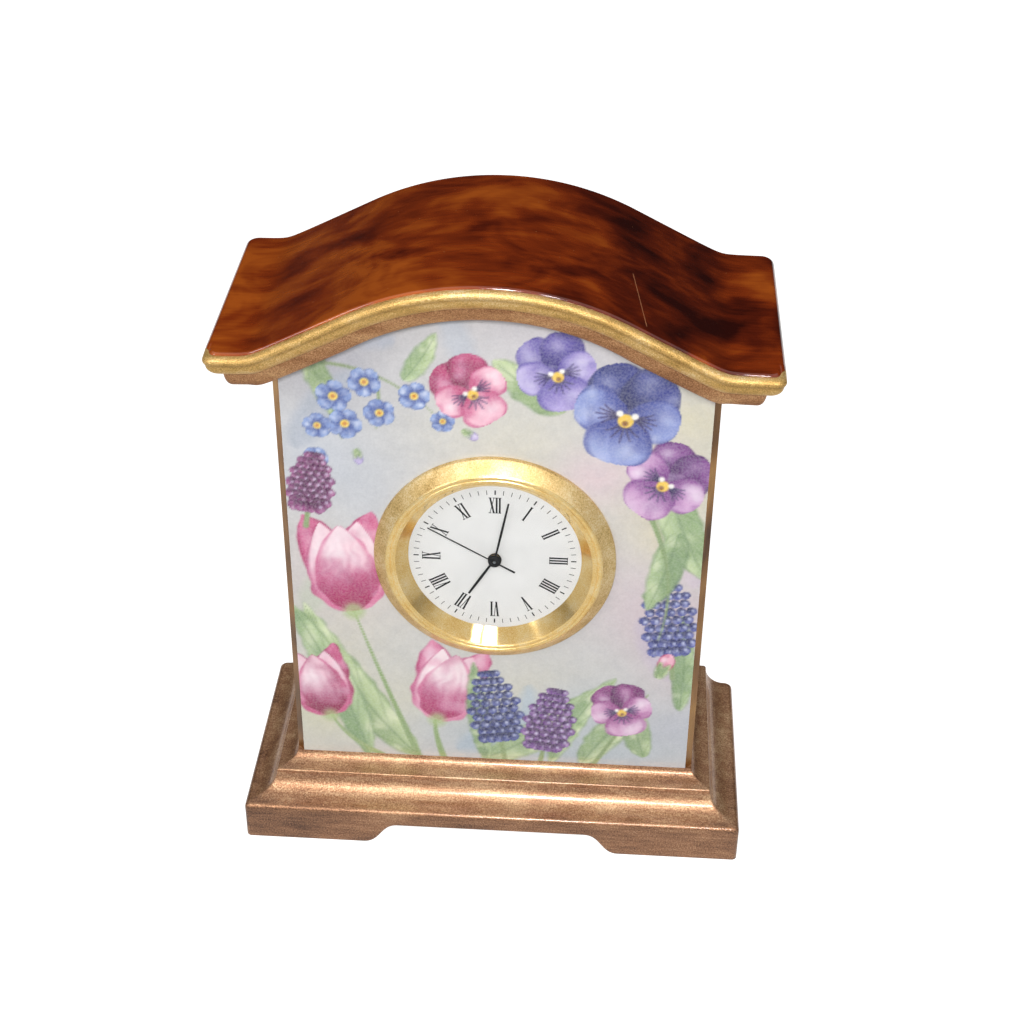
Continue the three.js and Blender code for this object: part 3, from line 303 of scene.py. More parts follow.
def base_rings():
    """Rings down the outside of the base, over the feet, and up the hollow to the well of the body."""
    step_inset = BASE_OVERHANG - UPPER_COVE_DEPTH
    profile = cove((BASE_OVERHANG, BASE_HEIGHT), (step_inset + STEP_ROUND, STEP_TOP))
    profile += round_over((step_inset + STEP_ROUND, STEP_TOP), (step_inset, STEP_TOP - STEP_ROUND))
    profile += cove((step_inset, STEP_LOW), (ARRIS_ROUND, ARRIS_TOP), 24)
    profile += round_over((ARRIS_ROUND, ARRIS_TOP), (0, ARRIS_TOP - ARRIS_ROUND))
    middle = (BASE_FRONT + BASE_BACK) / 2
    rings = []

    def add_ring(inset, height, corner, lift=0.0, inside=False):
        back = BASE_BACK - (inset if inside else BACK_LEAN * inset)
        plan = ring(BASE_HALF_X - inset, BASE_FRONT + inset, back, corner)
        over_front = foot_rise(plan[:, 0], BASE_HALF_X, FRONT_FOOT)
        over_side = foot_rise(plan[:, 1] - middle, BASE_BACK - middle, SIDE_FOOT)
        on_side = np.abs(plan[:, 0]) >= BASE_HALF_X - inset - TOLERANCE
        rings.append(np.column_stack([plan, height + lift * np.where(on_side, over_side, over_front)]))

    for inset, height in profile:
        add_ring(inset, height, max(CORNER_ROUND - CORNER_FADE * inset, LEAST_CORNER))
    for drop in np.linspace(0.25, 1.0, 4):
        add_ring(0, (ARRIS_TOP - ARRIS_ROUND) * (1 - drop) + FOOT_ROUND * drop, CORNER_ROUND, drop)
    for inset, height in round_over((FOOT_ROUND, 0), (0, FOOT_ROUND))[::-1][1:]:
        add_ring(inset, height, CORNER_ROUND, 1.0)
    add_ring(BASE_WALL, 0, INNER_CORNER, 1.0, inside=True)
    add_ring(BASE_WALL, BASE_HOLLOW, INNER_CORNER, inside=True)
    well = ring(WELL_SIDE, WELL_FRONT, WELL_BACK, INNER_CORNER)
    for height in (BASE_HOLLOW, BASE_HEIGHT):
        rings.append(np.column_stack([well, np.full(len(well), height)]))
    return rings


# The lustre is bright metal with a fine grain. Its colour is darkened on the band below the mouldings and
# lightened on the mouldings above, painted shade and painted light
base_lustre = Finish("base_gold_lustre", Metallic=0.75, Coat_Weight=0.8, Coat_Roughness=0.18)
cloud = base_lustre.noise(5.0, 4.0, 0.6, 0.4, (2.2, 2.2, 1.0))
speckle = base_lustre.noise(0.24, 2.0, 0.6)
brushed = base_lustre.noise(0.5, 3.0, 0.6, 0.0, (14.0, 3.0, 1.0))
# Painted shade on the band below the arris, painted light on the mouldings above it
band_shade_and_cove_light = base_lustre.axis("Z").between(ARRIS_TOP - 0.4, ARRIS_TOP + 0.2, -0.07, 0.03)
lustre_tone = cloud * 0.4 + speckle * 0.6 + brushed * 0.3 - 0.15 + band_shade_and_cove_light
lustre_stops = ((0.28, 0x5C3D2C), (0.5, 0xB78560), (0.72, 0xF2CEA2))
base_lustre.set("Base Color", base_lustre.ramp(lustre_tone, *lustre_stops))
base_lustre.set("Roughness", cloud * 0.2 + speckle * 0.3 + 0.18)
base_lustre.bump(speckle + brushed * 0.25, 0.07, 0.8)
base_points, base_faces = loft(base_rings(), True)
base = smooth(add_piece("lustred_base", base_points, base_faces, base_lustre), 40)
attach(base, "case")
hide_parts("base_plinth")

# Case body: a porcelain tube. Its front is painted with flowers on a clouded ground and glazed, its
# bevels and sides are gilded, its back and inside are plain white glaze, and the insert is pushed
# into the round hole in its front.
BODY_BEVEL = 1.0
PANEL_PITCH = 0.22
DIAL_HEIGHT = 52.0
HOLE_RADIUS = 16.75
BACK_BEVEL = 0.4
SIDE_COLUMNS, BACK_COLUMNS, PLAIN_ROWS = 25, 61, 9
PAINTED, GILDED, WHITE = 0, 1, 2
SHOULDER_HEIGHT = 89.1
ARCH_RISE = 11.6
ARCH_RADIUS = 42.0
ARCH_FLANK = math.radians(27.5)
ARCH_OFFSET = -0.8
SHOULDER_BLEND = 0.6
ROOF_THICKNESS = 6.1
ROOF_JOINT = 0.12
SLOPE_STEP = 0.01
BRUSH_EDGE = 0.35
GROUND_SHADE = 0.93


def roof_top(x):
    """Height of the roof: a round crown, straight flanks and level shoulders, softly joined."""
    reach = ARCH_RADIUS * math.sin(ARCH_FLANK)
    crown = SHOULDER_HEIGHT + ARCH_RISE - ARCH_RADIUS
    aside = np.abs(x - ARCH_OFFSET)
    arc = crown + np.sqrt(ARCH_RADIUS ** 2 - np.minimum(aside, reach) ** 2)
    arch = arc - np.maximum(aside - reach, 0) * math.tan(ARCH_FLANK)
    return (SHOULDER_HEIGHT + arch + np.hypot(SHOULDER_HEIGHT - arch, SHOULDER_BLEND)) / 2


def under_roof(x, drop):
    """Height at a depth under the roof, measured square to its slope."""
    slope = (roof_top(x + SLOPE_STEP) - roof_top(x - SLOPE_STEP)) / (2 * SLOPE_STEP)
    return roof_top(x) - drop * np.hypot(1, slope)


def body_top(x):
    """Height of the body's top edge, a joint below the soffit of the roof."""
    return under_roof(x, ROOF_THICKNESS) - ROOF_JOINT


def body_plan(columns):
    """Outer and inner plan of the tube, with matching points, from the front left corner round."""
    side = BODY_HALF_X
    front_x = np.linspace(-side + BODY_BEVEL, side - BODY_BEVEL, columns)
    side_y = np.linspace(BODY_FRONT + BODY_BEVEL, BODY_BACK - BACK_BEVEL, SIDE_COLUMNS)
    back_x = np.linspace(side - BACK_BEVEL, -side + BACK_BEVEL, BACK_COLUMNS)
    outer = [(x, BODY_FRONT) for x in front_x] + [(side, y) for y in side_y]
    outer += [(x, BODY_BACK) for x in back_x] + [(-side, y) for y in side_y[::-1]]
    outer = np.array(outer)
    inner_x = np.clip(outer[:, 0], -WELL_SIDE, WELL_SIDE)
    inner_y = np.clip(outer[:, 1], WELL_FRONT, WELL_BACK)
    return outer, np.column_stack([inner_x, inner_y])


def set_on_hole(vert):
    """Moves a point in or out to the round of the hole."""
    rise = vert.co.z - DIAL_HEIGHT
    share = HOLE_RADIUS / math.hypot(vert.co.x, rise)
    vert.co.x *= share
    vert.co.z = DIAL_HEIGHT + rise * share


def body_mesh():
    """Points and faces of the tube: a fine front grid, plainer sides and back, and the inside."""
    columns = int((2 * BODY_HALF_X - 2 * BODY_BEVEL) / PANEL_PITCH)
    rows = int((BODY_HIGH.z / MM - BASE_HEIGHT) / PANEL_PITCH)
    outer, inner = body_plan(columns)
    count = len(outer)
    shell = bmesh.new()

    def column(plan, levels):
        rise = body_top(plan[:1])[0] - BASE_HEIGHT
        heights = BASE_HEIGHT + rise * np.linspace(0, 1, levels)
        return [shell.verts.new((*plan, height)) for height in heights]

    front = [column(outer[i], rows) for i in range(columns)]
    for stack in front:
        for vert in stack:
            radius = math.hypot(vert.co.x, vert.co.z - DIAL_HEIGHT)
            if abs(radius - HOLE_RADIUS) < PANEL_PITCH / 2:
                set_on_hole(vert)
    for left, right in zip(front, front[1:]):
        for k in range(rows - 1):
            corners = (left[k], right[k], right[k + 1], left[k + 1])
            far = sum(math.hypot(v.co.x, v.co.z - DIAL_HEIGHT) for v in corners) / 4
            if far > HOLE_RADIUS:
                shell.faces.new(corners)
    rest = [column(outer[i], PLAIN_ROWS) for i in range(columns, count)]
    inside = [column(inner[i], PLAIN_ROWS) for i in range(count)]
    for left, right in zip(rest, rest[1:]):
        for k in range(PLAIN_ROWS - 1):
            shell.faces.new((left[k], right[k], right[k + 1], left[k + 1]))
    for fine, plain, flip in ((front[-1], rest[0], False), (front[0], rest[-1], True)):
        loop = fine + plain[::-1]
        shell.faces.new(loop[::-1] if flip else loop)
    for face in shell.faces:
        if max(vert.co.y for vert in face.verts) > BODY_FRONT + TOLERANCE:
            face.material_index = GILDED
    for k in (0, -1):
        ring_out = [stack[k] for stack in front] + [stack[k] for stack in rest]
        ring_in = [stack[k] for stack in inside]
        for i in range(count):
            j = (i + 1) % count
            corners = list(dict.fromkeys((ring_out[i], ring_out[j], ring_in[j], ring_in[i])))
            shell.faces.new(corners)
    for i in range(columns - 1, count):
        left, right = inside[i], inside[(i + 1) % count]
        for k in range(PLAIN_ROWS - 1):
            shell.faces.new((left[k], left[k + 1], right[k + 1], right[k]))
    return shell, inside[:columns]


def finish_hole(shell, inner_front):
    """Takes the loose bits off the hole, gives it a wall and closes the front wall behind it."""

    def on_front(vert):
        return abs(vert.co.y - BODY_FRONT) < TOLERANCE

    def by_hole(vert):
        return math.hypot(vert.co.x, vert.co.z - DIAL_HEIGHT) < HOLE_RADIUS + 1

    for vert in [v for v in shell.verts if not v.link_edges and on_front(v)]:
        shell.verts.remove(vert)
    open_edges = [e for e in shell.edges if len(e.link_faces) == 1]
    hole_edges = [e for e in open_edges if on_front(e.verts[0]) and by_hole(e.verts[0])]
    made = bmesh.ops.extrude_edge_only(shell, edges=hole_edges)["geom"]
    moved = {g for g in made if isinstance(g, bmesh.types.BMVert)}
    for vert in moved:
        vert.co.y = WELL_FRONT
        set_on_hole(vert)
    border = [e for e in made if isinstance(e, bmesh.types.BMEdge) and moved.issuperset(e.verts)]
    for k in (0, -1):
        level = [stack[k] for stack in inner_front]
        border += [shell.edges.get(pair) for pair in zip(level, level[1:])]
    for stack in (inner_front[0], inner_front[-1]):
        border += [shell.edges.get(pair) for pair in zip(stack, stack[1:])]
    bmesh.ops.triangle_fill(shell, use_beauty=True, edges=[e for e in border if e])


body_shell, inner_wall = body_mesh()
finish_hole(body_shell, inner_wall)
for face in body_shell.faces:
    depths = [vert.co.y for vert in face.verts]
    behind_front = face.material_index == PAINTED and max(depths) > BODY_FRONT + TOLERANCE
    if behind_front or min(depths) > BODY_BACK - TOLERANCE:
        face.material_index = WHITE
for vert in body_shell.verts:
    vert.co *= MM
bmesh.ops.remove_doubles(body_shell, verts=body_shell.verts, dist=MERGE_DISTANCE)
bmesh.ops.recalc_face_normals(body_shell, faces=body_shell.faces)
body = bpy.data.objects.new("painted_body", bpy.data.meshes.new("painted_body"))
body_shell.to_mesh(body.data)
body_shell.free()
bpy.context.scene.collection.objects.link(body)

spot_count = len(body.data.vertices)
spots = np.empty(spot_count * 3)
body.data.vertices.foreach_get("co", spots)
spots = spots.reshape(-1, 3) / MM
across, upward = spots[:, 0], spots[:, 2]


def mottle(x, z, cell, seed):
    """Smooth noise from -1 to 1 with features of about one cell."""
    lattice = np.random.default_rng(seed).uniform(-1, 1, (64, 64))
    u, v = x / cell, z / cell
    i, j = np.floor(u).astype(int), np.floor(v).astype(int)
    u, v = u - i, v - j
    u, v = u * u * (3 - 2 * u), v * v * (3 - 2 * v)
    low = lattice[i % 64, j % 64] * (1 - u) + lattice[(i + 1) % 64, j % 64] * u
    high = lattice[i % 64, (j + 1) % 64] * (1 - u) + lattice[(i + 1) % 64, (j + 1) % 64] * u
    return low * (1 - v) + high * v


def ink(code):
    """A colour code as red, green and blue from 0 to 1."""
    return np.array([(code >> shift & 255) / 255 for shift in (16, 8, 0)])


def ease(value, low, high):
    """Rises smoothly from 0 to 1 as the value goes from low to high."""
    share = np.clip((value - low) / (high - low), 0, 1)
    return share * share * (3 - 2 * share)


def blend(first, second, share):
    """Colours part of the way from the first to the second."""
    return first + (second - first) * np.asarray(share)[:, None]


# The ground: clouds of pale blue-grey, cream, lilac and yellow washed into each other
drift_x = across + 5 * mottle(across, upward, 14, 1)
drift_z = upward + 5 * mottle(across, upward, 14, 2)
paint = np.tile(ink(0xD7D6D4), (spot_count, 1))
for place, size, code in (
    ((-24, 86), (17, 12), 0xBCBCC6), ((8, 88), (16, 9), 0xD3CFD4), ((-24, 66), (13, 12), 0xD0D4DC),
    ((30, 77), (10, 11), 0xE3DCC0), ((4, 74), (16, 6), 0xE0DCCE), ((29, 62), (9, 10), 0xE2DABD),
    ((19, 68), (8, 6), 0xE8D2D7), ((-27, 44), (12, 10), 0xE0D5D2), ((-26, 24), (14, 14), 0xE0DDBA),
    ((27, 43), (12, 13), 0xDDC8CF), ((-6, 27), (15, 8), 0xDEDBC9), ((12, 16), (24, 8), 0xBCC9D0),
    ((28, 22), (10, 9), 0xC6C9D2),
):
    distance = np.hypot((drift_x - place[0]) / size[0], (drift_z - place[1]) / size[1])
    paint = blend(paint, ink(code), np.exp(-distance ** 2 * 1.4) * 0.9)
paint *= GROUND_SHADE


def lay(mask, tint):
    """Puts a wash of colour over what is painted already."""
    paint[:] = blend(paint, tint, mask)


def turned(place, bearing):
    """Coordinates along and across a stroke that starts at a place. Bearing 0 is up, in degrees."""
    angle = math.radians(bearing)
    dx, dz = across - place[0], upward - place[1]
    return dx * math.sin(angle) + dz * math.cos(angle), dx * math.cos(angle) - dz * math.sin(angle)


def outline(place, bearing, length, width, bend=0.0, shoulder=0.55, point=0.6, edge=BRUSH_EDGE):
    """A petal or leaf: how far along it and across it each spot is, and how well it is covered."""
    along, aside = turned(place, bearing)
    share = np.clip(along / length, 0, 1)
    aside = aside - bend * length * share * share
    swell = shoulder / (1 - shoulder)
    form = np.clip(share, 1e-6, 1) ** (point * swell) * np.clip(1 - share, 0, 1) ** point
    form = form / (shoulder ** (point * swell) * (1 - shoulder) ** point)
    seed = int(abs(place[0] * 31 + place[1] * 17)) + 5
    wobble = 0.05 * width * mottle(across, upward, width * 0.22, seed)
    out = np.abs(aside) - form * width / 2 - wobble
    mask = np.clip(0.5 - out / edge, 0, 1) * (along > 0) * (along < length)
    return share, aside / np.maximum(form * width / 2, 1e-3), mask


def petal(place, bearing, length, width, heart, tip, rim, bend=0.0, veins=9, point=0.5, shoulder=0.6):
    """One brush-painted petal: a deep heart, a pale tip, fine veins and a darker turned edge."""
    share, side, mask = outline(place, bearing, length, width, bend, shoulder, point)
    tint = blend(np.tile(ink(heart), (spot_count, 1)), ink(tip), ease(share, 0.05, 0.75))
    vein = 0.5 + 0.5 * np.cos(side * veins + 3 * mottle(across, upward, 1.5, 11))
    tint = blend(tint, ink(heart), 0.3 * vein * (1 - ease(share, 0.2, 1.0)))
    tint = blend(tint, ink(rim), 0.75 * ease(np.abs(side), 0.72, 1.0) * ease(share, 0.1, 0.5))
    light = np.exp(-((side + 0.3) / 0.35) ** 2) * np.exp(-((share - 0.68) / 0.22) ** 2)
    tint = blend(tint, np.ones(3), 0.35 * light)
    wash = mottle(across, upward, width * 0.3, int(bearing) % 97 + 40)
    tint = blend(tint, ink(heart), 0.35 * ease(wash, 0.05, 0.8))
    tint = blend(tint, np.ones(3), 0.3 * ease(-wash, 0.1, 0.9))
    lay(mask, tint)


def leaf(place, bearing, length, width, deep, pale, bend=0.0):
    """One leaf: a pale midrib, side veins, a shaded half and a lit half."""
    share, side, mask = outline(place, bearing, length, width, bend, 0.42, 0.75, 0.6)
    wash = mottle(across, upward, width * 0.4, int(length * 7 + bearing) % 89 + 50)
    tint = blend(np.tile(ink(deep), (spot_count, 1)), ink(pale), 0.2 + 0.6 * ease(side, -0.5, 0.9))
    tint = blend(tint, ink(pale), 0.5 * ease(share, 0.55, 1.0))
    tint = blend(tint, ink(deep), 0.55 * ease(wash, 0.0, 0.8))
    tint = blend(tint, ink(0xEEF0D2), 0.5 * ease(-wash, 0.1, 0.9))
    rib = np.exp(-(side / 0.1) ** 2)
    vein = np.exp(-((np.abs(np.sin((share * 5 - np.abs(side) * 1.2) * math.pi)) / 0.3) ** 2))
    tint = blend(tint, ink(0x4F6B45), 0.16 * vein * ease(np.abs(side), 0.0, 0.4))
    tint = blend(tint, ink(0x5E7A50), 0.4 * ease(np.abs(side), 0.75, 1.0))
    tint = blend(tint, ink(0x5E7A50), 0.35 * rib)
    lay(mask, tint)


def shadow_leaf(place, bearing, length, width, code, bend):
    """A leaf washed in softly with one pale tone."""
    _, _, mask = outline(place, bearing, length, width, bend, 0.42, 0.75, 1.6)
    lay(mask * 0.75, np.tile(ink(code), (spot_count, 1)))


def stem(points, width, code, strength=1.0):
    """A thin bending line through three points, thinner at its end."""
    start, control, end = (np.array(p, float) for p in points)
    nearest = np.full(spot_count, 1e9)
    for t in np.linspace(0, 1, 60):
        spot = start * (1 - t) ** 2 + 2 * control * t * (1 - t) + end * t * t
        nearest = np.minimum(nearest, np.hypot(across - spot[0], upward - spot[1]) + 0.35 * width * t)
    lay(np.clip(0.5 - (nearest - width / 2) / 0.3, 0, 1) * strength, np.tile(ink(code), (spot_count, 1)))


def dot(place, radius, code, strength=1.0, edge=0.3):
    """A round touch of the brush."""
    away = np.hypot(across - place[0], upward - place[1])
    lay(np.clip(0.5 - (away - radius) / edge, 0, 1) * strength, np.tile(ink(code), (spot_count, 1)))


def along_bearing(place, bearing, distance):
    """The place at a distance along a bearing."""
    angle = math.radians(bearing)
    return place[0] + distance * math.sin(angle), place[1] + distance * math.cos(angle)


def pansy(place, size, turn, deep, mid, pale):
    """Two upper petals, two side petals and a broad lower one round a yellow eye with dark lines."""
    for bearing in (-28, 28):
        petal(place, turn + bearing, size, size * 0.95, deep, mid, deep, 0, 11, 0.42)
    for bearing in (-88, 88):
        petal(place, turn + bearing, size * 0.86, size * 0.85, mid, pale, mid, 0, 9, 0.42)
    petal(place, turn + 180, size * 0.92, size * 1.15, mid, pale, mid, 0, 13, 0.4)
    for centre, spread in ((-95, 24), (95, 24), (180, 40)):
        for line in np.linspace(-1, 1, 5):
            end = along_bearing(place, turn + centre + spread * line, size * (0.5 - 0.08 * abs(line)))
            bow = along_bearing(place, turn + centre + spread * line * 0.6, size * 0.3)
            stem((along_bearing(place, turn + centre, size * 0.08), bow, end), size * 0.05, 0x2A1F4E, 0.85)
    dot(along_bearing(place, turn + 180, size * 0.08), size * 0.13, 0xF2C94A)
    dot(along_bearing(place, turn + 180, size * 0.13), size * 0.05, 0x8C5A1E)
    for bearing in (-75, 75):
        dot(along_bearing(place, turn + bearing, size * 0.13), size * 0.06, 0xF6F2EC)


def tulip(place, bearing, size, deep, mid, pale):
    """A half-open cup: two petals behind, one each side and one in front, streaked from the base."""
    behind = along_bearing(place, bearing, size * 0.08)
    tall, broad = size * 0.94, size * 0.5
    for side in (-1, 1):
        petal(behind, bearing + 15 * side, size, size * 0.44, deep, mid, deep, 0.04 * side, 9, 0.8, 0.45)
    for side in (-1, 1):
        petal(place, bearing + 21 * side, tall, broad, mid, pale, deep, -0.2 * side, 13, 0.85, 0.42)
    petal(place, bearing, size * 0.9, size * 0.56, deep, pale, mid, 0.0, 15, 0.85, 0.42)
    dot(place, size * 0.09, 0xA9BE7E, 0.8, 1.2)


def forget_me_not(place, size, turn, petal_code, pale):
    """Five round petals about a yellow eye."""
    for k in range(5):
        petal(place, turn + 72 * k, size, size * 0.95, petal_code, pale, petal_code, 0, 5, 0.36)
    dot(place, size * 0.27, 0xF3D35C)
    dot(place, size * 0.12, 0xC47A2A)


def grape_hyacinth(place, bearing, length, width, deep, pale):
    """A spike of little round bells in rows, dark below and small at the tip, on a short stalk."""
    foot, tip = along_bearing(place, bearing, -length * 0.4), along_bearing(place, bearing, length)
    stem((foot, place, tip), 0.9, 0x8AA06C)
    rows = 9
    for row in range(rows, -1, -1):
        share = row / rows
        half = width / 2 * math.sin(math.pi * (0.22 + 0.7 * share)) ** 0.8
        middle = along_bearing(place, bearing, length * share)
        for bell in range(-2, 3):
            spot = along_bearing(middle, bearing + 90, half * (bell + 0.5 * (row % 2) - 0.25) / 2.2)
            hang = bearing + 180 - 22 * bell
            size = 1.75 - 0.55 * share
            neck = along_bearing(spot, hang, -size / 2)
            petal(neck, hang, size * 1.15, size * 1.05, deep, pale, deep, 0, 3, 0.4)
            dot(along_bearing(spot, hang - 60, size * 0.18), size * 0.13, 0xDDE3F6, 0.7)


def bud(place, bearing, size, deep, pale):
    """A closed flower held by two small leaves."""
    petal(place, bearing, size, size * 0.55, deep, pale, deep, 0, 7, 0.6)
    foot = along_bearing(place, bearing, -size * 0.15)
    for lean in (-14, 14):
        leaf(foot, bearing + lean, size * 0.75, size * 0.3, 0x7E9A62, 0xC6D6A0)


# Shadow leaves in grey and lilac, washed in first
for place, bearing, length, width, code in (
    ((-29, 70), 25, 16, 5.0, 0xA9B0BD), ((-14, 88), -75, 15, 4.5, 0xAEB4C2),
    ((-3, 84), -30, 12, 4.0, 0xB6BCC6), ((26, 88), 130, 13, 4.5, 0xC6BAC6),
    ((29, 30), -40, 14, 5.0, 0xC3B6C6), ((-6, 14), 60, 16, 4.5, 0xA8B8C6),
    ((-29, 40), 20, 13, 4.5, 0xC2C7B6), ((8, 14), -20, 14, 4.5, 0xB0BFCB),
    ((30, 48), -15, 14, 4.5, 0xCFC0CC),
):
    shadow_leaf(place, bearing, length, width, code, 0.15)

# Tulips rise from the lower left, with long blade leaves
leaf((-12, 12), -42, 34, 6.5, 0x8FA873, 0xCFDDAE, 0.22)
leaf((-20, 12), -14, 32, 5.5, 0x7E9C6C, 0xBFD2A0, -0.12)
leaf((-2, 12), 62, 27, 6.0, 0x93AC7C, 0xD4E0B6, -0.22)
stem(((-12, 12), (-17, 26), (-21.5, 41)), 1.1, 0x8CA56B)
stem(((-8, 12), (-10, 18), (-9, 22)), 1.1, 0x8CA56B)
stem(((-18, 12), (-25, 16), (-26, 21)), 1.0, 0x97AD74)
tulip((-21.5, 41), -6, 17.5, 0xA41F58, 0xD26A94, 0xF3D3DD)
tulip((-26, 20), -12, 13.5, 0x8E1848, 0xC95585, 0xF0C6D4)
tulip((-9, 20), 14, 15.0, 0xAC2C64, 0xDA7FA4, 0xF6DEE4)

# A forget-me-not sprig falls from the upper left
stem(((-29, 84), (-18, 86), (-9, 77)), 0.7, 0x86996A)
stem(((-24, 85), (-25, 78), (-22, 72)), 0.6, 0x86996A)
stem(((-17, 83), (-16, 78), (-17, 74)), 0.6, 0x86996A)
leaf((-27, 86), 150, 11, 3.6, 0x87A070, 0xC7D7A6, 0.15)
leaf((-13, 82), 40, 9, 3.2, 0x8BA574, 0xCBDAAA, -0.15)
for place, size, turn in (
    ((-23, 79), 2.6, 10), ((-18.5, 81.5), 2.4, 40), ((-21.5, 74.5), 2.5, 25), ((-25.5, 74), 2.1, 0),
    ((-16.5, 76.5), 2.3, 55), ((-11.5, 79.5), 2.3, 15), ((-26, 68.5), 1.9, 30), ((-7.5, 75.5), 1.8, 5),
):
    forget_me_not(place, size, turn, 0x34488F, 0x869DD0)
for place, bearing in (((-28, 65), 190), ((-4.5, 74), 120), ((-20, 70), 170)):
    bud(place, bearing, 2.4, 0x6A5CA6, 0xB9A9D6)

# Grape hyacinths stand along the bottom and up the right edge
leaf((-1, 12), -12, 20, 3.4, 0x7E9A6C, 0xBBCF9C, 0.1)
leaf((9, 12), 20, 19, 3.4, 0x86A272, 0xC4D6A6, 0.12)
leaf((29, 24), 4, 19, 3.4, 0x7E9A6C, 0xBBCF9C, -0.1)
grape_hyacinth((1.0, 17.0), -9, 13.0, 7.0, 0x181D4C, 0x444F98)
grape_hyacinth((8.0, 15.5), 9, 11.5, 6.6, 0x3A164C, 0x7C4A98)
grape_hyacinth((27.0, 36.0), -6, 13.5, 7.0, 0x1D2258, 0x5159A4)
grape_hyacinth((-27.5, 60.0), 8, 9.0, 5.4, 0x4C1644, 0x9A4A84)

# Pansies fill the upper right and come down the right side
leaf((10, 78), -60, 13, 5.5, 0x86A06C, 0xC9D8A6, 0.12)
leaf((20, 88), 35, 12, 5.0, 0x7F9B69, 0xBDD09E, -0.1)
leaf((25, 66), 165, 18, 6.5, 0x88A370, 0xCBDAAA, -0.12)
leaf((27, 58), 190, 15, 5.0, 0x7C9868, 0xBACD9C, 0.1)
stem(((22, 62), (28, 50), (25, 38)), 0.9, 0x869D69)
pansy((-3.5, 80.5), 6.2, -34, 0x7A1442, 0xBC4476, 0xEFBACB)
pansy((8.5, 84), 6.6, -18, 0x392E7A, 0x5A4CA0, 0xAEA0D8)
pansy((24.5, 66.5), 7.2, 38, 0x481C5C, 0x7A3A86, 0xCFA2CC)
pansy((18.5, 77.5), 8.8, 12, 0x1E2158, 0x373F8C, 0x8C9AD2)

# Small buds and a viola close the lower right
leaf((14, 12), 28, 17, 5.0, 0x8CA677, 0xD0DDB0, 0.15)
leaf((24, 14), -18, 14, 4.6, 0x839E6D, 0xC4D4A4, 0.1)
stem(((16, 12), (20, 20), (24, 27)), 0.8, 0x8AA06C)
pansy((20, 23.5), 5.6, -12, 0x581A54, 0x903C80, 0xDAAACE)
bud((25.5, 31), 20, 4.6, 0xB4305F, 0xEFB3C6)

paint += 0.012 * (mottle(across, upward, 0.5, 21) + mottle(across, upward, 2.5, 22))[:, None]
paint = np.clip(paint, 0, 1)
paint = np.where(paint <= 0.04045, paint / 12.92, ((paint + 0.055) / 1.055) ** 2.4)
colours = body.data.color_attributes.new("painting", "FLOAT_COLOR", "POINT")
colours.data.foreach_set("color", np.column_stack([paint, np.ones(spot_count)]).astype(np.float32).ravel())

painted_glaze = Finish("painted_glaze", Roughness=0.12, Coat_Weight=0.6, Coat_Roughness=0.04)
brushwork = painted_glaze.noise(0.35, 3.0, 0.6).between(0.3, 0.7, 0.0, 0.10)
grey_wash = painted_glaze.noise(2.0, 4.0, 0.6, 0.5).between(0.35, 0.7, 0.0, 0.08)
pigment = painted_glaze.attribute("painting", "Color")
pigment = painted_glaze.mix(brushwork, pigment, linear(0xFFFFFF))
pigment = painted_glaze.mix(grey_wash, pigment, linear(0x8A93A6))
painted_glaze.set("Base Color", pigment)
painted_glaze.bump(painted_glaze.noise(3.0, 2.0), 0.02, 0.3)

white_glaze = Finish("white_glaze", Roughness=0.14, Coat_Weight=0.6, Coat_Roughness=0.04)
pooled = white_glaze.noise(6.0, 3.0, 0.5)
pinhole = white_glaze.noise(0.5, 1.0, 0.4).between(0.80, 0.84)
clear_white = white_glaze.ramp(pooled, (0.3, 0xEDEAE3), (0.7, 0xF4F2EC))
white_glaze.set("Base Color", white_glaze.mix(pinhole * 0.4, clear_white, linear(0x9A8468)))
white_glaze.bump(white_glaze.noise(3.0, 2.0), 0.02, 0.3)

edge_gilding = Finish("edge_gilding", Metallic=0.9, Coat_Weight=0.3, Coat_Roughness=0.06)
brush_mark = edge_gilding.noise(0.3, 3.0, 0.6, 0.0, (1.0, 1.0, 12.0))
puddle = edge_gilding.noise(8.0, 2.0, 0.4, 0.2, (1.0, 1.0, 1.6))
edge_wear = edge_gilding.axis("Y").between(BODY_FRONT + 0.6, BODY_FRONT + 2.5, 0.16, 0.0)
gilt_tone = puddle * 0.82 + brush_mark * 0.18 - edge_wear
gilt_stops = ((0.15, 0x4E3420), (0.35, 0x9A6E40), (0.5, 0xC49658), (0.7, 0xDCB678))
edge_gilding.set("Base Color", edge_gilding.ramp(gilt_tone, *gilt_stops))
edge_gilding.set("Roughness", brush_mark * 0.08 + 0.18)
edge_gilding.bump(puddle + brush_mark * 0.02, 0.5, 0.5)
for finish in (painted_glaze, edge_gilding, white_glaze):
    body.data.materials.append(finish.material)
body.data.shade_smooth()
body.data.set_sharp_from_angle(angle=math.radians(30))
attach(body, "case")
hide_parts("case_body")

# Roof cap: a slab of porcelain bent to an arch, glazed brown on top like polished wood, with a rolled
# edge of glaze over the front bead. The bead, lip and under-moulding on its front and ends are
# gilded, its back is flush and brown, and it is cemented to the body.
ROOF_LOW, ROOF_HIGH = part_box("roof_cap")
ROOF_HALF_X = ROOF_HIGH.x / MM
ROOF_FRONT, ROOF_BACK = ROOF_LOW.y / MM, ROOF_HIGH.y / MM
BEAD_HEIGHT, BEAD_DEPTH = 1.9, 0.9
BEAD_END = math.radians(24)
GLAZE_EDGE, GLAZE_DROP, GLAZE_REACH = 0.42, 0.32, 0.06
GLAZE_START = BEAD_DEPTH + GLAZE_EDGE
GROOVE_DEPTH = 0.3
LIP_HEIGHT, LIP_DEPTH = 1.6, 1.8
OVOLO_LEDGE, OVOLO_HEIGHT, OVOLO_DEPTH = 0.2, 2.6, 1.0
LEDGE_FALL = 0.04
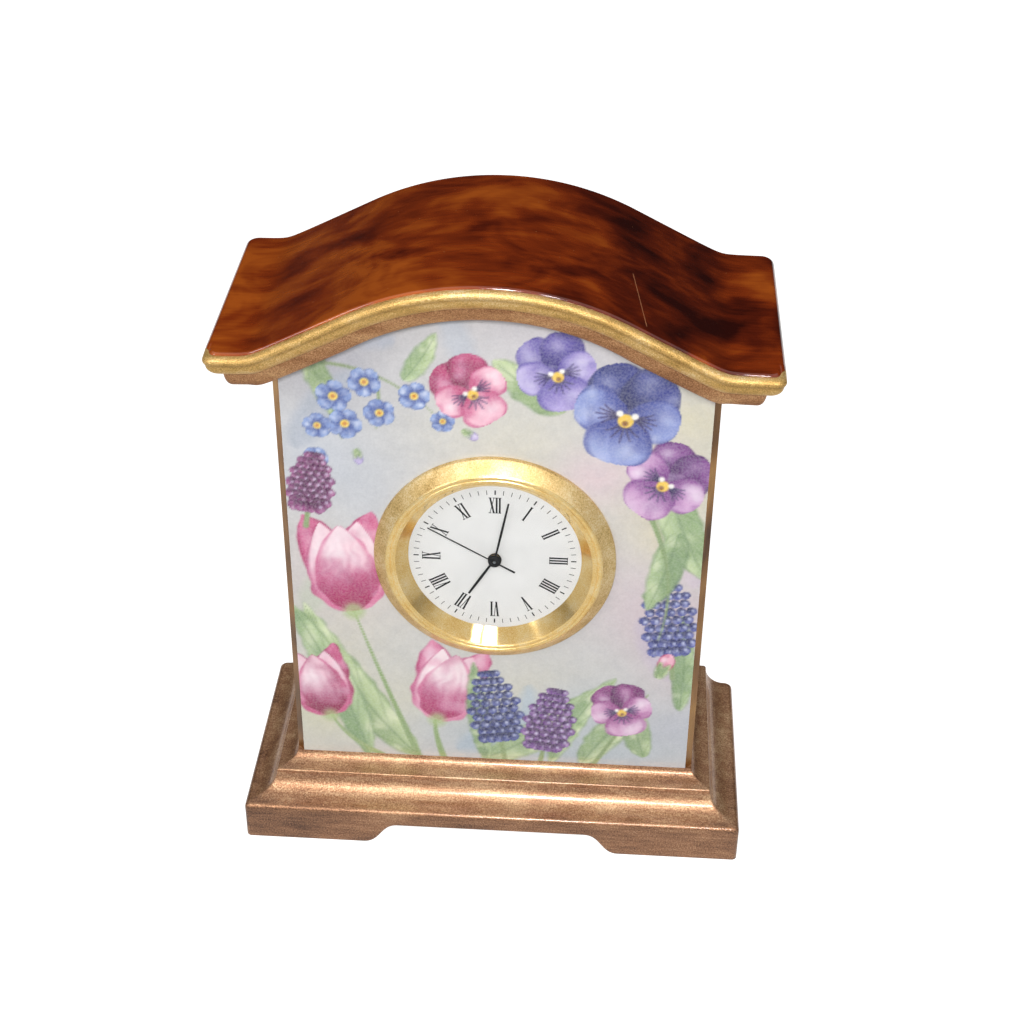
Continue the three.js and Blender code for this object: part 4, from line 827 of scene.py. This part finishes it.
SOFFIT_START, ROOF_CORNER, ROOF_CORNER_FADE = 0.4, 1.3, 0.25
BACK_ROUND = 0.3
TOP_STEPS, EDGE_STEPS, BEAD_STEPS, QUARTER_STEPS, SOFFIT_STEPS = 44, 9, 22, 16, 12
BLEND_START, BLEND_END = 1.5, 4.0
END_SHIFT, BACK_SHIFT = 1.1, 9.0
SCRATCH_PLACE, SCRATCH_NORMAL = (18.4, -2.4), (0.989, 0.15)


def bead_arc(start_drop):
    """The round bead below a drop, as [inset, drop] points."""
    bead_half = (BEAD_HEIGHT - start_drop) / 2
    turn = np.linspace(-math.pi / 2, BEAD_END, BEAD_STEPS)
    return [(BEAD_DEPTH * (1 - math.cos(t)), start_drop + bead_half * (1 + math.sin(t))) for t in turn]


def quarter_round(inset, drop, depth, height):
    """A rounded quarter that leaves a point straight down and arrives level, as [inset, drop] points."""
    turn = np.linspace(0, math.pi / 2, QUARTER_STEPS)
    return [(inset + depth * (1 - math.cos(t)), drop + height * math.sin(t)) for t in turn]


def roof_profile():
    """[inset, drop] points from the middle of the top, over the edge mouldings, to the soffit."""
    middle = (ROOF_BACK - ROOF_FRONT + GLAZE_START - BACK_ROUND) / 2
    top = [(inset, 0.0) for inset in np.linspace(middle, GLAZE_START, TOP_STEPS)]
    edge = round_over((GLAZE_START, 0.0), (BEAD_DEPTH + GLAZE_REACH, GLAZE_DROP), EDGE_STEPS)[1:]
    bead = bead_arc(GLAZE_DROP)
    lip = quarter_round(GROOVE_DEPTH, BEAD_HEIGHT, LIP_DEPTH, LIP_HEIGHT)
    ledge = GROOVE_DEPTH + LIP_DEPTH + OVOLO_LEDGE
    ledge_drop = BEAD_HEIGHT + LIP_HEIGHT + LEDGE_FALL
    ovolo = quarter_round(ledge, ledge_drop, OVOLO_DEPTH, OVOLO_HEIGHT - LEDGE_FALL)
    inner = ledge + OVOLO_DEPTH
    soffit_end = (ROOF_BACK - ROOF_FRONT + inner) / 2
    across_soffit = np.linspace(inner + SOFFIT_START, soffit_end, SOFFIT_STEPS)
    soffit = [(inset, ROOF_THICKNESS) for inset in across_soffit]
    return top, edge, bead, lip, ovolo, soffit


top, edge, bead, lip, ovolo, soffit = roof_profile()
profile = [*top, *edge, *bead, *lip, *ovolo, *soffit]
plain_edge = [(inset, 0.0) for inset in np.linspace(GLAZE_START, BEAD_DEPTH, len(edge) + 1)[1:]]
end_profile = [*top, *plain_edge, *bead_arc(0.0), *lip, *ovolo, *soffit]
run = np.cumsum([0.0] + [math.hypot(b[0] - a[0], b[1] - a[1]) for a, b in zip(profile, profile[1:])])
run -= run[len(top) - 1]
roof_rings = []
for place, (inset, drop) in enumerate(profile):
    back_inset = BACK_ROUND * max(1 - drop / BACK_ROUND, 0) ** 2
    if place < len(top):
        back_inset = inset - GLAZE_START + BACK_ROUND
    elif place >= len(profile) - len(soffit):
        back_inset = inset - ovolo[-1][0]
    corner = max(ROOF_CORNER - ROOF_CORNER_FADE * inset, 0.0)
    end_inset, end_drop = end_profile[place]
    plan = ring(ROOF_HALF_X - end_inset, ROOF_FRONT + inset, ROOF_BACK - back_inset, corner, 300, 80)
    to_end = np.clip((plan[:, 1] - ROOF_FRONT - BLEND_START) / (BLEND_END - BLEND_START), 0, 1)
    height = np.minimum(under_roof(plan[:, 0], drop + (end_drop - drop) * to_end), ROOF_HIGH.z / MM)
    roof_rings.append(np.column_stack([plan, height]))
roof_points, roof_faces = loft(roof_rings, False)
roof = add_piece("glazed_roof", roof_points, roof_faces)
edge_run = roof.data.attributes.new("edge_run", "FLOAT", "POINT")
edge_run.data.foreach_set("value", np.repeat(run, len(roof_rings[0])).astype(np.float32))
smooth(roof, 45)

# The brown glaze varies in tone along the roof and is lightened towards the left by painted light, and a
# scratch crosses it.
# The gilding starts below the glaze's edge, lower on the ends than on the front, and stops at the back
glaze_run, bead_run, lip_run = run[np.cumsum([len(top) + len(edge), len(bead), len(lip)]) - 1]
roof_finish = Finish("brown_wood_glaze", Coat_Roughness=0.03)
streak = roof_finish.noise(4.5, 2.0, 0.45, 0.7, (2.2, 1.0, 1.0))
fibre = roof_finish.noise(0.6, 3.0, 0.6, 0.3, (9.0, 1.0, 1.5))
figure = roof_finish.noise(11.0, 3.0, 0.5, 0.9, (1.3, 1.0, 1.0))
# Painted light: the glaze is lighter on the left of the roof and darker on the right
painted_left_light = roof_finish.axis("X").between(-38.0, 34.0, 0.12, -0.03)
wood_tone = streak * 0.27 + figure * 0.62 + fibre * 0.11 + painted_left_light - 0.02
wood_stops = ((0.35, 0x300803), (0.45, 0x5C1B06), (0.54, 0x84310B), (0.66, 0xAE5417))
wood = roof_finish.ramp(wood_tone, *wood_stops)
speck = roof_finish.noise(0.45, 1.0, 0.4).between(0.80, 0.84)
wood = roof_finish.mix(speck * 0.5, wood, linear(0xC98A5A))
where = roof_finish.attribute("edge_run")
deep = roof_finish.axis("Y")
off_line = (roof_finish.axis("X") - SCRATCH_PLACE[0]) * SCRATCH_NORMAL[0]
off_line = off_line + (deep - SCRATCH_PLACE[1]) * SCRATCH_NORMAL[1]
hairline = (1 - off_line.math("ABSOLUTE", off_line).between(0.03, 0.08)) * deep.between(-15.8, -15.5)
wood = roof_finish.mix(hairline * deep.between(-2.8, -2.4, 0.7, 0.0), wood, linear(0xC98A62))
on_end = deep.between(ROOF_FRONT + BLEND_START, ROOF_FRONT + BLEND_END)
on_back = deep.between(ROOF_BACK - 1.0, ROOF_BACK - 0.2)
worn = roof_finish.noise(0.8, 3.0, 0.6)
gilt_run = where - (on_end * END_SHIFT + on_back * BACK_SHIFT) + (worn - 0.5) * 0.12
gilt = gilt_run.between(glaze_run - 0.04, glaze_run + 0.06)
gold_grain = roof_finish.noise(0.18, 2.0, 0.6)
sweep = roof_finish.noise(4.0, 4.0, 0.6, 0.3, (3.0, 1.0, 1.0))
gold_tone = sweep * 0.5 + gold_grain * 0.5
gold = roof_finish.ramp(gold_tone, (0.32, 0x9A7438), (0.5, 0xE0B66C), (0.68, 0xFFEBBC))
copper = roof_finish.ramp(gold_tone, (0.32, 0x643E28), (0.5, 0xB8845A), (0.68, 0xF0C690))
# Painted shade: the gilding is darkened in the groove between the bead and the lip
groove_shade = where.between(bead_run - 0.25, bead_run) - where.between(bead_run + 0.1, bead_run + 0.5)
gilding = roof_finish.mix(where.between(lip_run - 0.7, lip_run - 0.2), gold, copper)
gilding = roof_finish.mix(groove_shade * 0.25, gilding, linear(0x6A4A28))
roof_finish.set("Base Color", roof_finish.mix(gilt, wood, gilding))
roof_finish.set("Metallic", gilt * 0.7)
roof_finish.set("Roughness", gilt * (0.2 + gold_grain * 0.3) + 0.11)
roof_finish.set("Coat Weight", 1 - gilt)
roof_finish.bump(gilt * gold_grain + fibre * 0.03, 0.09, 0.9)
roof.data.materials.append(roof_finish.material)
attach(roof, "case")
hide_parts("roof_cap")

# Insert shell and movement: a brass cup holds a stock quartz movement of moulded plates, plastic
# and brass wheels, a steel cell and a copper coil. These keep their built shapes and get finishes.


def metal(name, dark, mid, pale, rough, grain_size=0.3, stretch=(1.0, 1.0, 1.0)):
    """Worked metal: slightly uneven in colour and polish, with fine tool marks."""
    finish = Finish(name, Metallic=1.0)
    tool = finish.noise(grain_size, 3.0, 0.6, 0.0, stretch)
    patch = finish.noise(3.0, 3.0, 0.6)
    finish.set("Base Color", finish.ramp(tool * 0.4 + patch * 0.6, (0.3, dark), (0.5, mid), (0.7, pale)))
    finish.set("Roughness", tool * 0.15 + patch * 0.1 + rough)
    finish.bump(tool, 0.01, 0.4)
    return finish


def moulded(name, dark, pale, rough, grain_size=0.25):
    """Moulded plastic or rubber: a fine eroded skin with slight flow clouds."""
    finish = Finish(name)
    skin = finish.noise(grain_size, 3.0, 0.6)
    flow = finish.noise(2.5, 3.0, 0.5)
    finish.set("Base Color", finish.ramp(skin * 0.4 + flow * 0.6, (0.3, dark), (0.7, pale)))
    finish.set("Roughness", skin * 0.2 + rough)
    finish.bump(skin, 0.01, 0.4)
    return finish


plain_brass = metal("plain_brass", 0x9A7A3C, 0xC6A058, 0xDDBE7C, 0.2)
plain_steel = metal("plain_steel", 0x8C9094, 0xB0B4B8, 0xCDD0D2, 0.2)
natural_plastic = moulded("natural_plastic", 0xD2CCBC, 0xE8E3D6, 0.4)
black_rubber = moulded("black_rubber", 0x121212, 0x262626, 0.6)
coil_wire = metal("enamelled_copper", 0x7A3A18, 0xA9572A, 0xC97A44, 0.25, 0.12, (0.25, 4.0, 4.0))
board_green = moulded("board_green", 0x164A2E, 0x2A6A44, 0.4)
chip_resin = moulded("chip_resin", 0x0C0C0C, 0x1E1E1E, 0.5)
node_finishes = {
    "gilt_brass": plain_brass, "brass": plain_brass, "steel": plain_steel, "rubber": black_rubber,
    "natural_plastic": natural_plastic, "copper_wire": coil_wire, "circuit_green": board_green,
    "chip_black": chip_resin,
}
for subpart in frame["record"]["subparts"]:
    if subpart["material_slot"] in node_finishes:
        node = frame["nodes"][subpart["node"]]
        node.data.materials.clear()
        node.data.materials.append(node_finishes[subpart["material_slot"]].material)

# Dial: a thin white plate with a faint grain, printed in black. Sixty fine minute marks run round
# it, every fifth one heavier, and roman hours stand with their tops outwards.
DIAL_LOW, DIAL_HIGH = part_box("dial")
DIAL_FACE = DIAL_LOW.y / MM
DIAL_RADIUS = DIAL_HIGH.x / MM
DIAL_BORE = 0.91
DIAL_ROUND = 0.05
SHOWN_RADIUS = 12.9
PRINT_HEIGHT = 0.012
MARK_COUNT, HEAVY_EVERY = 60, 5.0
MARK_MIDDLE, MARK_LENGTH, MARK_WIDTH, HEAVY_MARK = 0.91, 0.06, 0.1, 2.0
HOUR_MIDDLE, HOUR_HEIGHT = 0.735, 2.75
THICK_STROKE, THIN_STROKE = 0.27, 0.10
LETTER_WIDTH = {"I": 0.46, "V": 0.92, "X": 0.92}
LETTER_INSET, SERIF_REACH = 0.17, 0.21
HOURS = ("XII", "I", "II", "III", "IIII", "V", "VI", "VII", "VIII", "IX", "X", "XI")


def turned_ring(profile, steps):
    """A ring turned about the dial axis from closed [radius, depth] points; depth is towards the back."""
    angles = np.linspace(0, 2 * math.pi, steps, endpoint=False)
    rings = []
    for radius, depth in profile:
        rings.append(np.column_stack([radius * np.cos(angles), np.full(steps, depth),
                                      DIAL_HEIGHT + radius * np.sin(angles)]))
    return loft(rings, True)


def lathe(name, profile, steps, *finishes):
    """A smooth piece turned about the dial axis."""
    points, faces = turned_ring(profile, steps)
    return smooth(add_piece(name, points, faces, *finishes), 30)


def on_dial(aside, out, depth, turn):
    """A point out from the dial axis and to its side, turned clockwise from twelve."""
    return (aside * math.cos(turn) + out * math.sin(turn), depth,
            DIAL_HEIGHT - aside * math.sin(turn) + out * math.cos(turn))


dial_white = Finish("dial_white", Roughness=0.55)
paper = dial_white.noise(0.14, 2.0, 0.6)
blush = dial_white.noise(5.0, 2.0)
dial_stops = ((0.3, 0xE4E4E2), (0.55, 0xF3F3F1), (0.7, 0xF9F9F8))
dial_white.set("Base Color", dial_white.ramp(paper * 0.55 + blush * 0.45, *dial_stops))
dial_white.bump(paper, 0.01, 0.5)
dial_back = DIAL_HIGH.y / MM
dial = lathe("printed_dial", [
    (DIAL_BORE, DIAL_FACE), (SHOWN_RADIUS, DIAL_FACE), (DIAL_RADIUS - DIAL_ROUND, DIAL_FACE),
    (DIAL_RADIUS, DIAL_FACE + DIAL_ROUND), (DIAL_RADIUS, dial_back), (DIAL_BORE, dial_back),
], 160, dial_white)
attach(dial, "insert")
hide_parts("dial")

print_black = Finish("print_black", Roughness=0.5)
soak = print_black.noise(0.2, 2.0, 0.6)
print_black.set("Base Color", print_black.ramp(soak, (0.35, 0x0A0A0C), (0.7, 0x1C1C1E)))


def stroke(x0, y0, x1, y1, width):
    """A level-ended bar between two heights of a letter, as four corners."""
    half = width / 2
    if y0 == y1:
        return [(x0, y0 - half), (x1, y0 - half), (x1, y0 + half), (x0, y0 + half)]
    return [(x0 - half, y0), (x0 + half, y0), (x1 + half, y1), (x1 - half, y1)]


def letter(form, left):
    """Bars of one letter, thick and thin as a broad pen makes them, with hairline serifs."""
    top, low = HOUR_HEIGHT / 2, -HOUR_HEIGHT / 2
    width = LETTER_WIDTH[form]
    middle = left + width / 2
    near, far = left + LETTER_INSET, left + width - LETTER_INSET
    serif = THIN_STROKE / 2
    if form == "I":
        bars = [stroke(middle, low, middle, top, THICK_STROKE)]
        ends = [(middle, low + serif), (middle, top - serif)]
    elif form == "V":
        bars = [stroke(middle, low, near, top, THICK_STROKE), stroke(middle, low, far, top, THIN_STROKE)]
        ends = [(near, top - serif), (far, top - serif)]
    else:
        bars = [stroke(far, low, near, top, THICK_STROKE), stroke(near, low, far, top, THIN_STROKE)]
        ends = [(near, low + serif), (far, low + serif), (near, top - serif), (far, top - serif)]
    return bars + [stroke(x - SERIF_REACH, y, x + SERIF_REACH, y, THIN_STROKE) for x, y in ends]


def printed_hours():
    """Points and faces of the hours, each letter in thin raised bars."""
    points, faces = [], []
    for hour, word in enumerate(HOURS):
        turn = math.radians(30 * hour)
        left = -sum(LETTER_WIDTH[form] for form in word) / 2
        for form in word:
            for bar in letter(form, left):
                low, high = len(points), len(points) + 4
                for depth in (DIAL_FACE, DIAL_FACE - PRINT_HEIGHT):
                    points.extend(on_dial(x, HOUR_MIDDLE * SHOWN_RADIUS + y, depth, turn) for x, y in bar)
                faces.append((high, high + 1, high + 2, high + 3))
                for i in range(4):
                    j = (i + 1) % 4
                    faces.append((low + i, low + j, high + j, high + i))
                faces.append((low + 3, low + 2, low + 1, low))
            left += LETTER_WIDTH[form]
    return points, faces


hour_points, hour_faces = printed_hours()
hours = add_piece("printed_hours", hour_points, hour_faces, print_black)
hours_shell = bmesh.new()
hours_shell.from_mesh(hours.data)
bmesh.ops.recalc_face_normals(hours_shell, faces=hours_shell.faces)
hours_shell.to_mesh(hours.data)
hours_shell.free()
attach(hours, "insert")


def marks_tree():
    """Bars standing round a circle, every fifth one wider, laid on the face of the dial."""
    tree = bpy.data.node_groups.new("minute_marks", "GeometryNodeTree")
    graph = Graph(tree)
    sockets = {}
    for name, kind in (("Count", "Int"), ("Radius", "Float"), ("Bar", "Vector"),
                       ("Heavy", "Float"), ("Place", "Vector"), ("Ink", "Material")):
        entry = tree.interface.new_socket(name, in_out="INPUT", socket_type="NodeSocket" + kind)
        sockets[name] = entry.identifier
    tree.interface.new_socket("Geometry", in_out="OUTPUT", socket_type="NodeSocketGeometry")
    given = {name: graph.node("NodeGroupInput", {}, {}, name) for name in sockets}
    ground = {"Vertices": given["Count"], "Radius": given["Radius"]}
    circle = graph.node("GeometryNodeMeshCircle", {}, ground)
    bar = graph.node("GeometryNodeMeshCube", {}, {"Size": given["Bar"]})
    index = graph.node("GeometryNodeInputIndex", {}, {})
    test = {"data_type": "FLOAT", "operation": "LESS_THAN"}
    heavy = graph.node("FunctionNodeCompare", test, {0: index.math("MODULO", index, HEAVY_EVERY), 1: 0.5})
    widen = graph.node("ShaderNodeMix", {}, {0: heavy, 2: 1.0, 3: given["Heavy"]})
    size = graph.node("ShaderNodeCombineXYZ", {}, {0: 1.0, 1: widen, 2: 1.0})
    turn = index.math("DIVIDE", index, given["Count"]) * (2 * math.pi)
    facing = graph.node("ShaderNodeCombineXYZ", {}, {2: turn})
    standing = {"Points": circle, "Instance": bar, "Scale": size, "Rotation": facing}
    bars = graph.node("GeometryNodeInstanceOnPoints", {}, standing)
    lying = {"Geometry": bars, "Rotation": (math.pi / 2, 0, 0), "Translation": given["Place"]}
    bars = graph.node("GeometryNodeTransform", {}, lying)
    bars = graph.node("GeometryNodeRealizeInstances", {}, {"Geometry": bars})
    bars = graph.node("GeometryNodeSetMaterial", {}, {"Geometry": bars, "Material": given["Ink"]})
    tree.links.new(bars.socket, tree.nodes.new("NodeGroupOutput").inputs["Geometry"])
    return tree, sockets


def grown(name, tree, values):
    """The mesh that a tree makes from its inputs, as a plain piece."""
    holder = bpy.data.objects.new(name + "_tree", bpy.data.meshes.new(name + "_tree"))
    bpy.context.scene.collection.objects.link(holder)
    modifier = holder.modifiers.new("grow", "NODES")
    modifier.node_group = tree
    for identifier, value in values.items():
        modifier[identifier] = value
    seen = holder.evaluated_get(bpy.context.evaluated_depsgraph_get())
    mesh = bpy.data.meshes.new_from_object(seen)
    bpy.data.objects.remove(holder)
    mesh.name = name
    piece = bpy.data.objects.new(name, mesh)
    bpy.context.scene.collection.objects.link(piece)
    return piece


tree, inlets = marks_tree()
marks = grown("minute_marks", tree, {
    inlets["Count"]: MARK_COUNT,
    inlets["Radius"]: MARK_MIDDLE * SHOWN_RADIUS * MM,
    inlets["Bar"]: (MARK_LENGTH * SHOWN_RADIUS * MM, MARK_WIDTH * MM, PRINT_HEIGHT * MM),
    inlets["Heavy"]: HEAVY_MARK,
    inlets["Place"]: (0.0, (DIAL_FACE - PRINT_HEIGHT / 2) * MM, DIAL_HEIGHT * MM),
    inlets["Ink"]: print_black.material,
})
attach(marks, "insert")

# Hands: slim stamped batons in black paint, pressed on the hour pipe, the cannon pinion and the
# seconds arbor. The second hand has a broad hub that hides the pipes behind it.
HAND_RISE = 0.05
HUB_ROUND, HUB_BACK, BORE_EDGE = 0.05, 0.03, 0.02
HUB_STEPS, BLADE_STEPS, TAIL_STEPS = 48, 25, 9
FULL_TURN = 2 * math.pi
SECOND_SHARE = 50 / 60
MINUTE_SHARE = (1 + SECOND_SHARE) / 60
HOUR_SHARE = (7 + MINUTE_SHARE) / 12

black_paint = Finish("black_hand_paint")
enamel = black_paint.noise(0.2, 2.0, 0.6)
black_paint.set("Base Color", black_paint.ramp(enamel, (0.35, 0x060607), (0.7, 0x141416)))
black_paint.set("Roughness", enamel * 0.2 + 0.4)


def blade(start, end, widths, back, front, turn):
    """Points and faces of a long thin leaf with a ridge, turned clockwise from twelve."""
    edge = front + HAND_RISE
    section = ((-1, back), (-1, edge), (-0.45, front), (0.45, front), (1, edge), (1, back))
    rings = []
    for share, width in zip(np.linspace(0, 1, len(widths)), widths):
        out = start + (end - start) * share
        rings.append(np.array([on_dial(side * width / 2, out, depth, turn) for side, depth in section]))
    points, faces = loft(rings, False)
    last = len(points) - len(section)
    faces.append(tuple(range(len(section)))[::-1])
    faces.append(tuple(range(last, len(points))))
    return points, faces


def hand(name, node, body_name, share, reach, width, hub, bore, tail=0.0, tail_width=0.0):
    """A hand made of one or two blades on a hub collar, in the space of its frame node."""
    low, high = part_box(node)
    front, back = low.y / MM, high.y / MM
    turn = FULL_TURN * share
    blade_widths = width * np.interp(np.linspace(0, 1, BLADE_STEPS), (0, 0.45, 1), (0.75, 1, 0.75))
    parts = [blade(bore + BORE_EDGE, reach, blade_widths, back, front, turn)]
    if tail:
        tail_widths = np.linspace(tail_width * 0.7, tail_width, TAIL_STEPS)
        parts.append(blade(bore + BORE_EDGE, tail, tail_widths, back, front, turn + math.pi))
    collar = [(bore, back), (hub - HUB_BACK, back), (hub, back - HUB_BACK), (hub, front + HUB_ROUND),
              (hub - HUB_ROUND, front), (bore + BORE_EDGE, front), (bore, front + BORE_EDGE)]
    parts.append(turned_ring(collar, HUB_STEPS))
    all_points, all_faces, start = [], [], 0
    for points, faces in parts:
        all_points.extend(points)
        all_faces.extend(tuple(start + i for i in face) for face in faces)
        start += len(points)
    piece = smooth(add_piece(name, all_points, all_faces, black_paint), 40)
    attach(piece, body_name)
    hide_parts(node)


hand("hour_baton", "hour_hand", "hour", HOUR_SHARE, reach=7.5, width=0.4, hub=1.03, bore=0.88)
hand("minute_baton", "minute_hand", "minute", MINUTE_SHARE, reach=10.5, width=0.34, hub=1.0, bore=0.68)
hand("second_needle", "second_hand", "seconds", SECOND_SHARE, reach=11.4, width=0.18, hub=0.9, bore=0.27,
     tail=3.5, tail_width=0.28)

# Reflector ring: a polished gold cone pressed into the cup, between the lens and the dial. It
# hides the edge of the dial and mirrors it.
REFLECTOR_LOW, REFLECTOR_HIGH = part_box("reflector_ring")
reflector_front, reflector_back = REFLECTOR_LOW.y / MM, REFLECTOR_HIGH.y / MM
reflector_outside = REFLECTOR_HIGH.x / MM
CONE_WIDTH, CONE_STEEP = 2.15, 0.82
REFLECTOR_RIM = 0.1


def gold_plate(name, metallic, rough, relief):
    """Polished gold plating over brass, a little tarnished and finely pitted."""
    finish = Finish(name, Metallic=metallic)
    glitter = finish.noise(0.16, 2.0, 0.7)
    tarnish = finish.noise(2.5, 3.0, 0.6)
    tone = finish.ramp(glitter * 0.6 + tarnish * 0.4, (0.3, 0xD9A652), (0.5, 0xFAD78C), (0.7, 0xFFF0C8))
    finish.set("Base Color", tone)
    finish.set("Roughness", glitter * 0.06 + rough)
    finish.bump(glitter, relief, 0.7)
    return finish


mirror_gold = gold_plate("mirror_gold", 0.7, 0.015, 0.006)
polished_gold = gold_plate("polished_gold", 0.6, 0.17, 0.03)
cone_front = reflector_back - CONE_WIDTH * CONE_STEEP
cone_start = reflector_outside - REFLECTOR_RIM
cone = [(cone_start, reflector_front)]
for share in np.linspace(0, 1, 8):
    cone.append((cone_start - CONE_WIDTH * share, cone_front + (reflector_back - cone_front) * share))
cone += [(reflector_outside, reflector_back), (reflector_outside, reflector_front)]
reflector = lathe("mirror_ring", cone, 200, mirror_gold)
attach(reflector, "insert")
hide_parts("reflector_ring")

# Bezel: a spun brass ring, gilded. Its outer slope is left with a sandy satin grain and its two
# inner ridges are polished. It grips the lens against the cup and rests on the painted panel.
BEZEL_LOW, BEZEL_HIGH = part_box("insert_bezel")
bezel_front, bezel_back = BEZEL_LOW.y / MM, BEZEL_HIGH.y / MM
bezel_radius = BEZEL_HIGH.x / MM
LENS_RADIUS = 14.6
BEZEL_BORE = 15.65
SATIN_END = 16.05
RIDGES = (15.68, 15.05)
RIDGE_ROUND, RIDGE_END = 0.42, 0.75
BEZEL_RIM = ((0.0, 0.0), (0.0, 0.42), (0.06, 0.56), (0.18, 0.68))
SATIN_EDGE, LENS_LIP, LENS_SEAT = 0.05, 0.16, 0.2
slope = [(bezel_radius - inset, bezel_back - rise) for inset, rise in BEZEL_RIM]
slope.append((SATIN_END + SATIN_EDGE, bezel_front + LENS_SEAT))
for middle in RIDGES:
    for turn in np.linspace(RIDGE_END, math.pi - RIDGE_END, 9):
        drop = RIDGE_ROUND * (1 - math.sin(turn))
        slope.append((middle + RIDGE_ROUND * math.cos(turn), bezel_front + drop))
slope += [(LENS_RADIUS, bezel_front + LENS_LIP), (LENS_RADIUS, bezel_front + LENS_SEAT)]
slope += [(BEZEL_BORE, bezel_front + LENS_SEAT), (BEZEL_BORE, bezel_back)]
satin_gold = Finish("satin_gold", Metallic=0.75, Coat_Weight=0.15, Coat_Roughness=0.35)
sand = satin_gold.noise(0.22, 2.0, 0.7)
patina = satin_gold.noise(4.0, 3.0, 0.6)
scratch = satin_gold.noise(0.7, 2.0, 0.5, 1.0, (3.0, 1.0, 0.5)).between(0.77, 0.80)
satin = satin_gold.ramp(sand * 0.55 + patina * 0.45, (0.32, 0xB08A4A), (0.5, 0xE8C888), (0.68, 0xFFEFC8))
satin_gold.set("Base Color", satin_gold.mix(scratch * 0.7, satin, linear(0x4A3618)))
satin_gold.set("Roughness", sand * 0.25 + 0.36)
satin_gold.bump(sand, 0.06, 0.8)
bezel = lathe("gilt_bezel", slope, 220, satin_gold, polished_gold)
for face in bezel.data.polygons:
    spot = face.center
    if math.hypot(spot.x, spot.z - DIAL_HEIGHT * MM) < SATIN_END * MM:
        face.material_index = 1
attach(bezel, "insert")
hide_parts("insert_bezel")

# Crystal: a flat disc of clear mineral glass with a ground edge, clamped under the bezel.
CRYSTAL_LOW, CRYSTAL_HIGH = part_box("crystal")
crystal_front, crystal_back = CRYSTAL_LOW.y / MM, CRYSTAL_HIGH.y / MM
crystal_radius = CRYSTAL_HIGH.x / MM
LENS_CENTRE, GROUND_EDGE = 1e-4, 0.12
clear_glass = Finish("clear_glass", IOR=1.5, Alpha=0.04, Roughness=0.03)
smear = clear_glass.noise(4.0, 3.0, 0.6)
clear_glass.set("Base Color", clear_glass.ramp(smear, (0.3, 0x202426), (0.7, 0x50565A)))
flat_radius = crystal_radius - GROUND_EDGE
crystal = lathe("clear_lens", [
    (LENS_CENTRE, crystal_front), (flat_radius, crystal_front),
    (crystal_radius, crystal_front + GROUND_EDGE), (crystal_radius, crystal_back - GROUND_EDGE),
    (flat_radius, crystal_back), (LENS_CENTRE, crystal_back),
], 160, clear_glass)
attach(crystal, "insert")
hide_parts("crystal")

# Floor and light: a white floor that throws more light up behind the clock than before it, a small
# flash beside the camera, a weaker spark and a soft box at the left. The room is pale overhead and
# dark lower down, with a faint light along the horizon behind the clock.
FLOOR_HALF = 3.0 / MM
GLOW_SPAN, FLOOR_GLOW = (-60.0, 40.0), (0.14, 0.55)
SEEN_SKY = 1.2
FLOOR_GREY = (0.35, 0.35, 0.35, 1)
floor_finish = Finish("white_floor", Base_Color=FLOOR_GREY, Roughness=0.9, Emission_Strength=1.0)
seen_floor = floor_finish.node("ShaderNodeLightPath", {}, {}, "Is Camera Ray")
glow = floor_finish.axis("Y").between(*GLOW_SPAN, *FLOOR_GLOW)
floor_finish.set("Emission Color", glow * (1 - seen_floor) + seen_floor)
floor_corners = [(x * FLOOR_HALF, y * FLOOR_HALF, 0) for x, y in ((-1, -1), (1, -1), (1, 1), (-1, 1))]
floor = add_piece("floor", floor_corners, [(0, 1, 2, 3)], floor_finish)


def lamp(name, place, aim, size, power):
    """A round lamp at a place in metres, turned to what it is aimed at."""
    light = bpy.data.lights.new(name, "AREA")
    light.shape = "DISK"
    light.size = size
    light.energy = power
    holder = bpy.data.objects.new(name, light)
    holder.location = place
    holder.rotation_mode = "QUATERNION"
    holder.rotation_quaternion = (Vector(aim) - Vector(place)).to_track_quat("-Z", "Y")
    bpy.context.scene.collection.objects.link(holder)


lamp("flash", (0.0, -0.245, 0.235), (0, 0, 0.05), 0.03, 0.48)
lamp("spark", (0.055, -0.24, 0.24), (0, 0, 0.09), 0.02, 0.16)
lamp("soft_box", (-0.515, -0.5, 0.5), (0, 0, 0.06), 0.2, 0.9)

sky = bpy.data.worlds.new("studio")
sky.use_nodes = True
air = Graph(sky.node_tree)
direction = air.node("ShaderNodeTexCoord", {}, {}, "Generated")


def sky_part(axis, low, high, start, end):
    """A value that runs evenly from start to end along one axis of the sky."""
    along = air.node("ShaderNodeSeparateXYZ", {}, {0: direction}, axis)
    return air.node("ShaderNodeMapRange", {}, {0: along, 1: low, 2: high, 3: start, 4: end})


front_sky = sky_part("Z", 0.08, 0.4, 0.08, 0.6)
back_sky = sky_part("Z", 0.0, 0.13, 0.22, 0.012) + sky_part("Z", 0.55, 0.78, 0.0, 0.6)
room = air.node("ShaderNodeMix", {}, {0: sky_part("Y", -0.5, 0.5, 0.0, 1.0), 2: front_sky, 3: back_sky})
seen_sky = air.node("ShaderNodeLightPath", {}, {}, "Is Camera Ray")
sky_light = air.node("ShaderNodeMix", {}, {0: seen_sky, 2: room, 3: SEEN_SKY})
background = sky.node_tree.nodes["Background"]
background.inputs["Color"].default_value = (1, 1, 1, 1)
sky.node_tree.links.new(sky_light.socket, background.inputs["Strength"])
bpy.context.scene.world = sky
bpy.context.scene.view_settings.view_transform = "Standard"
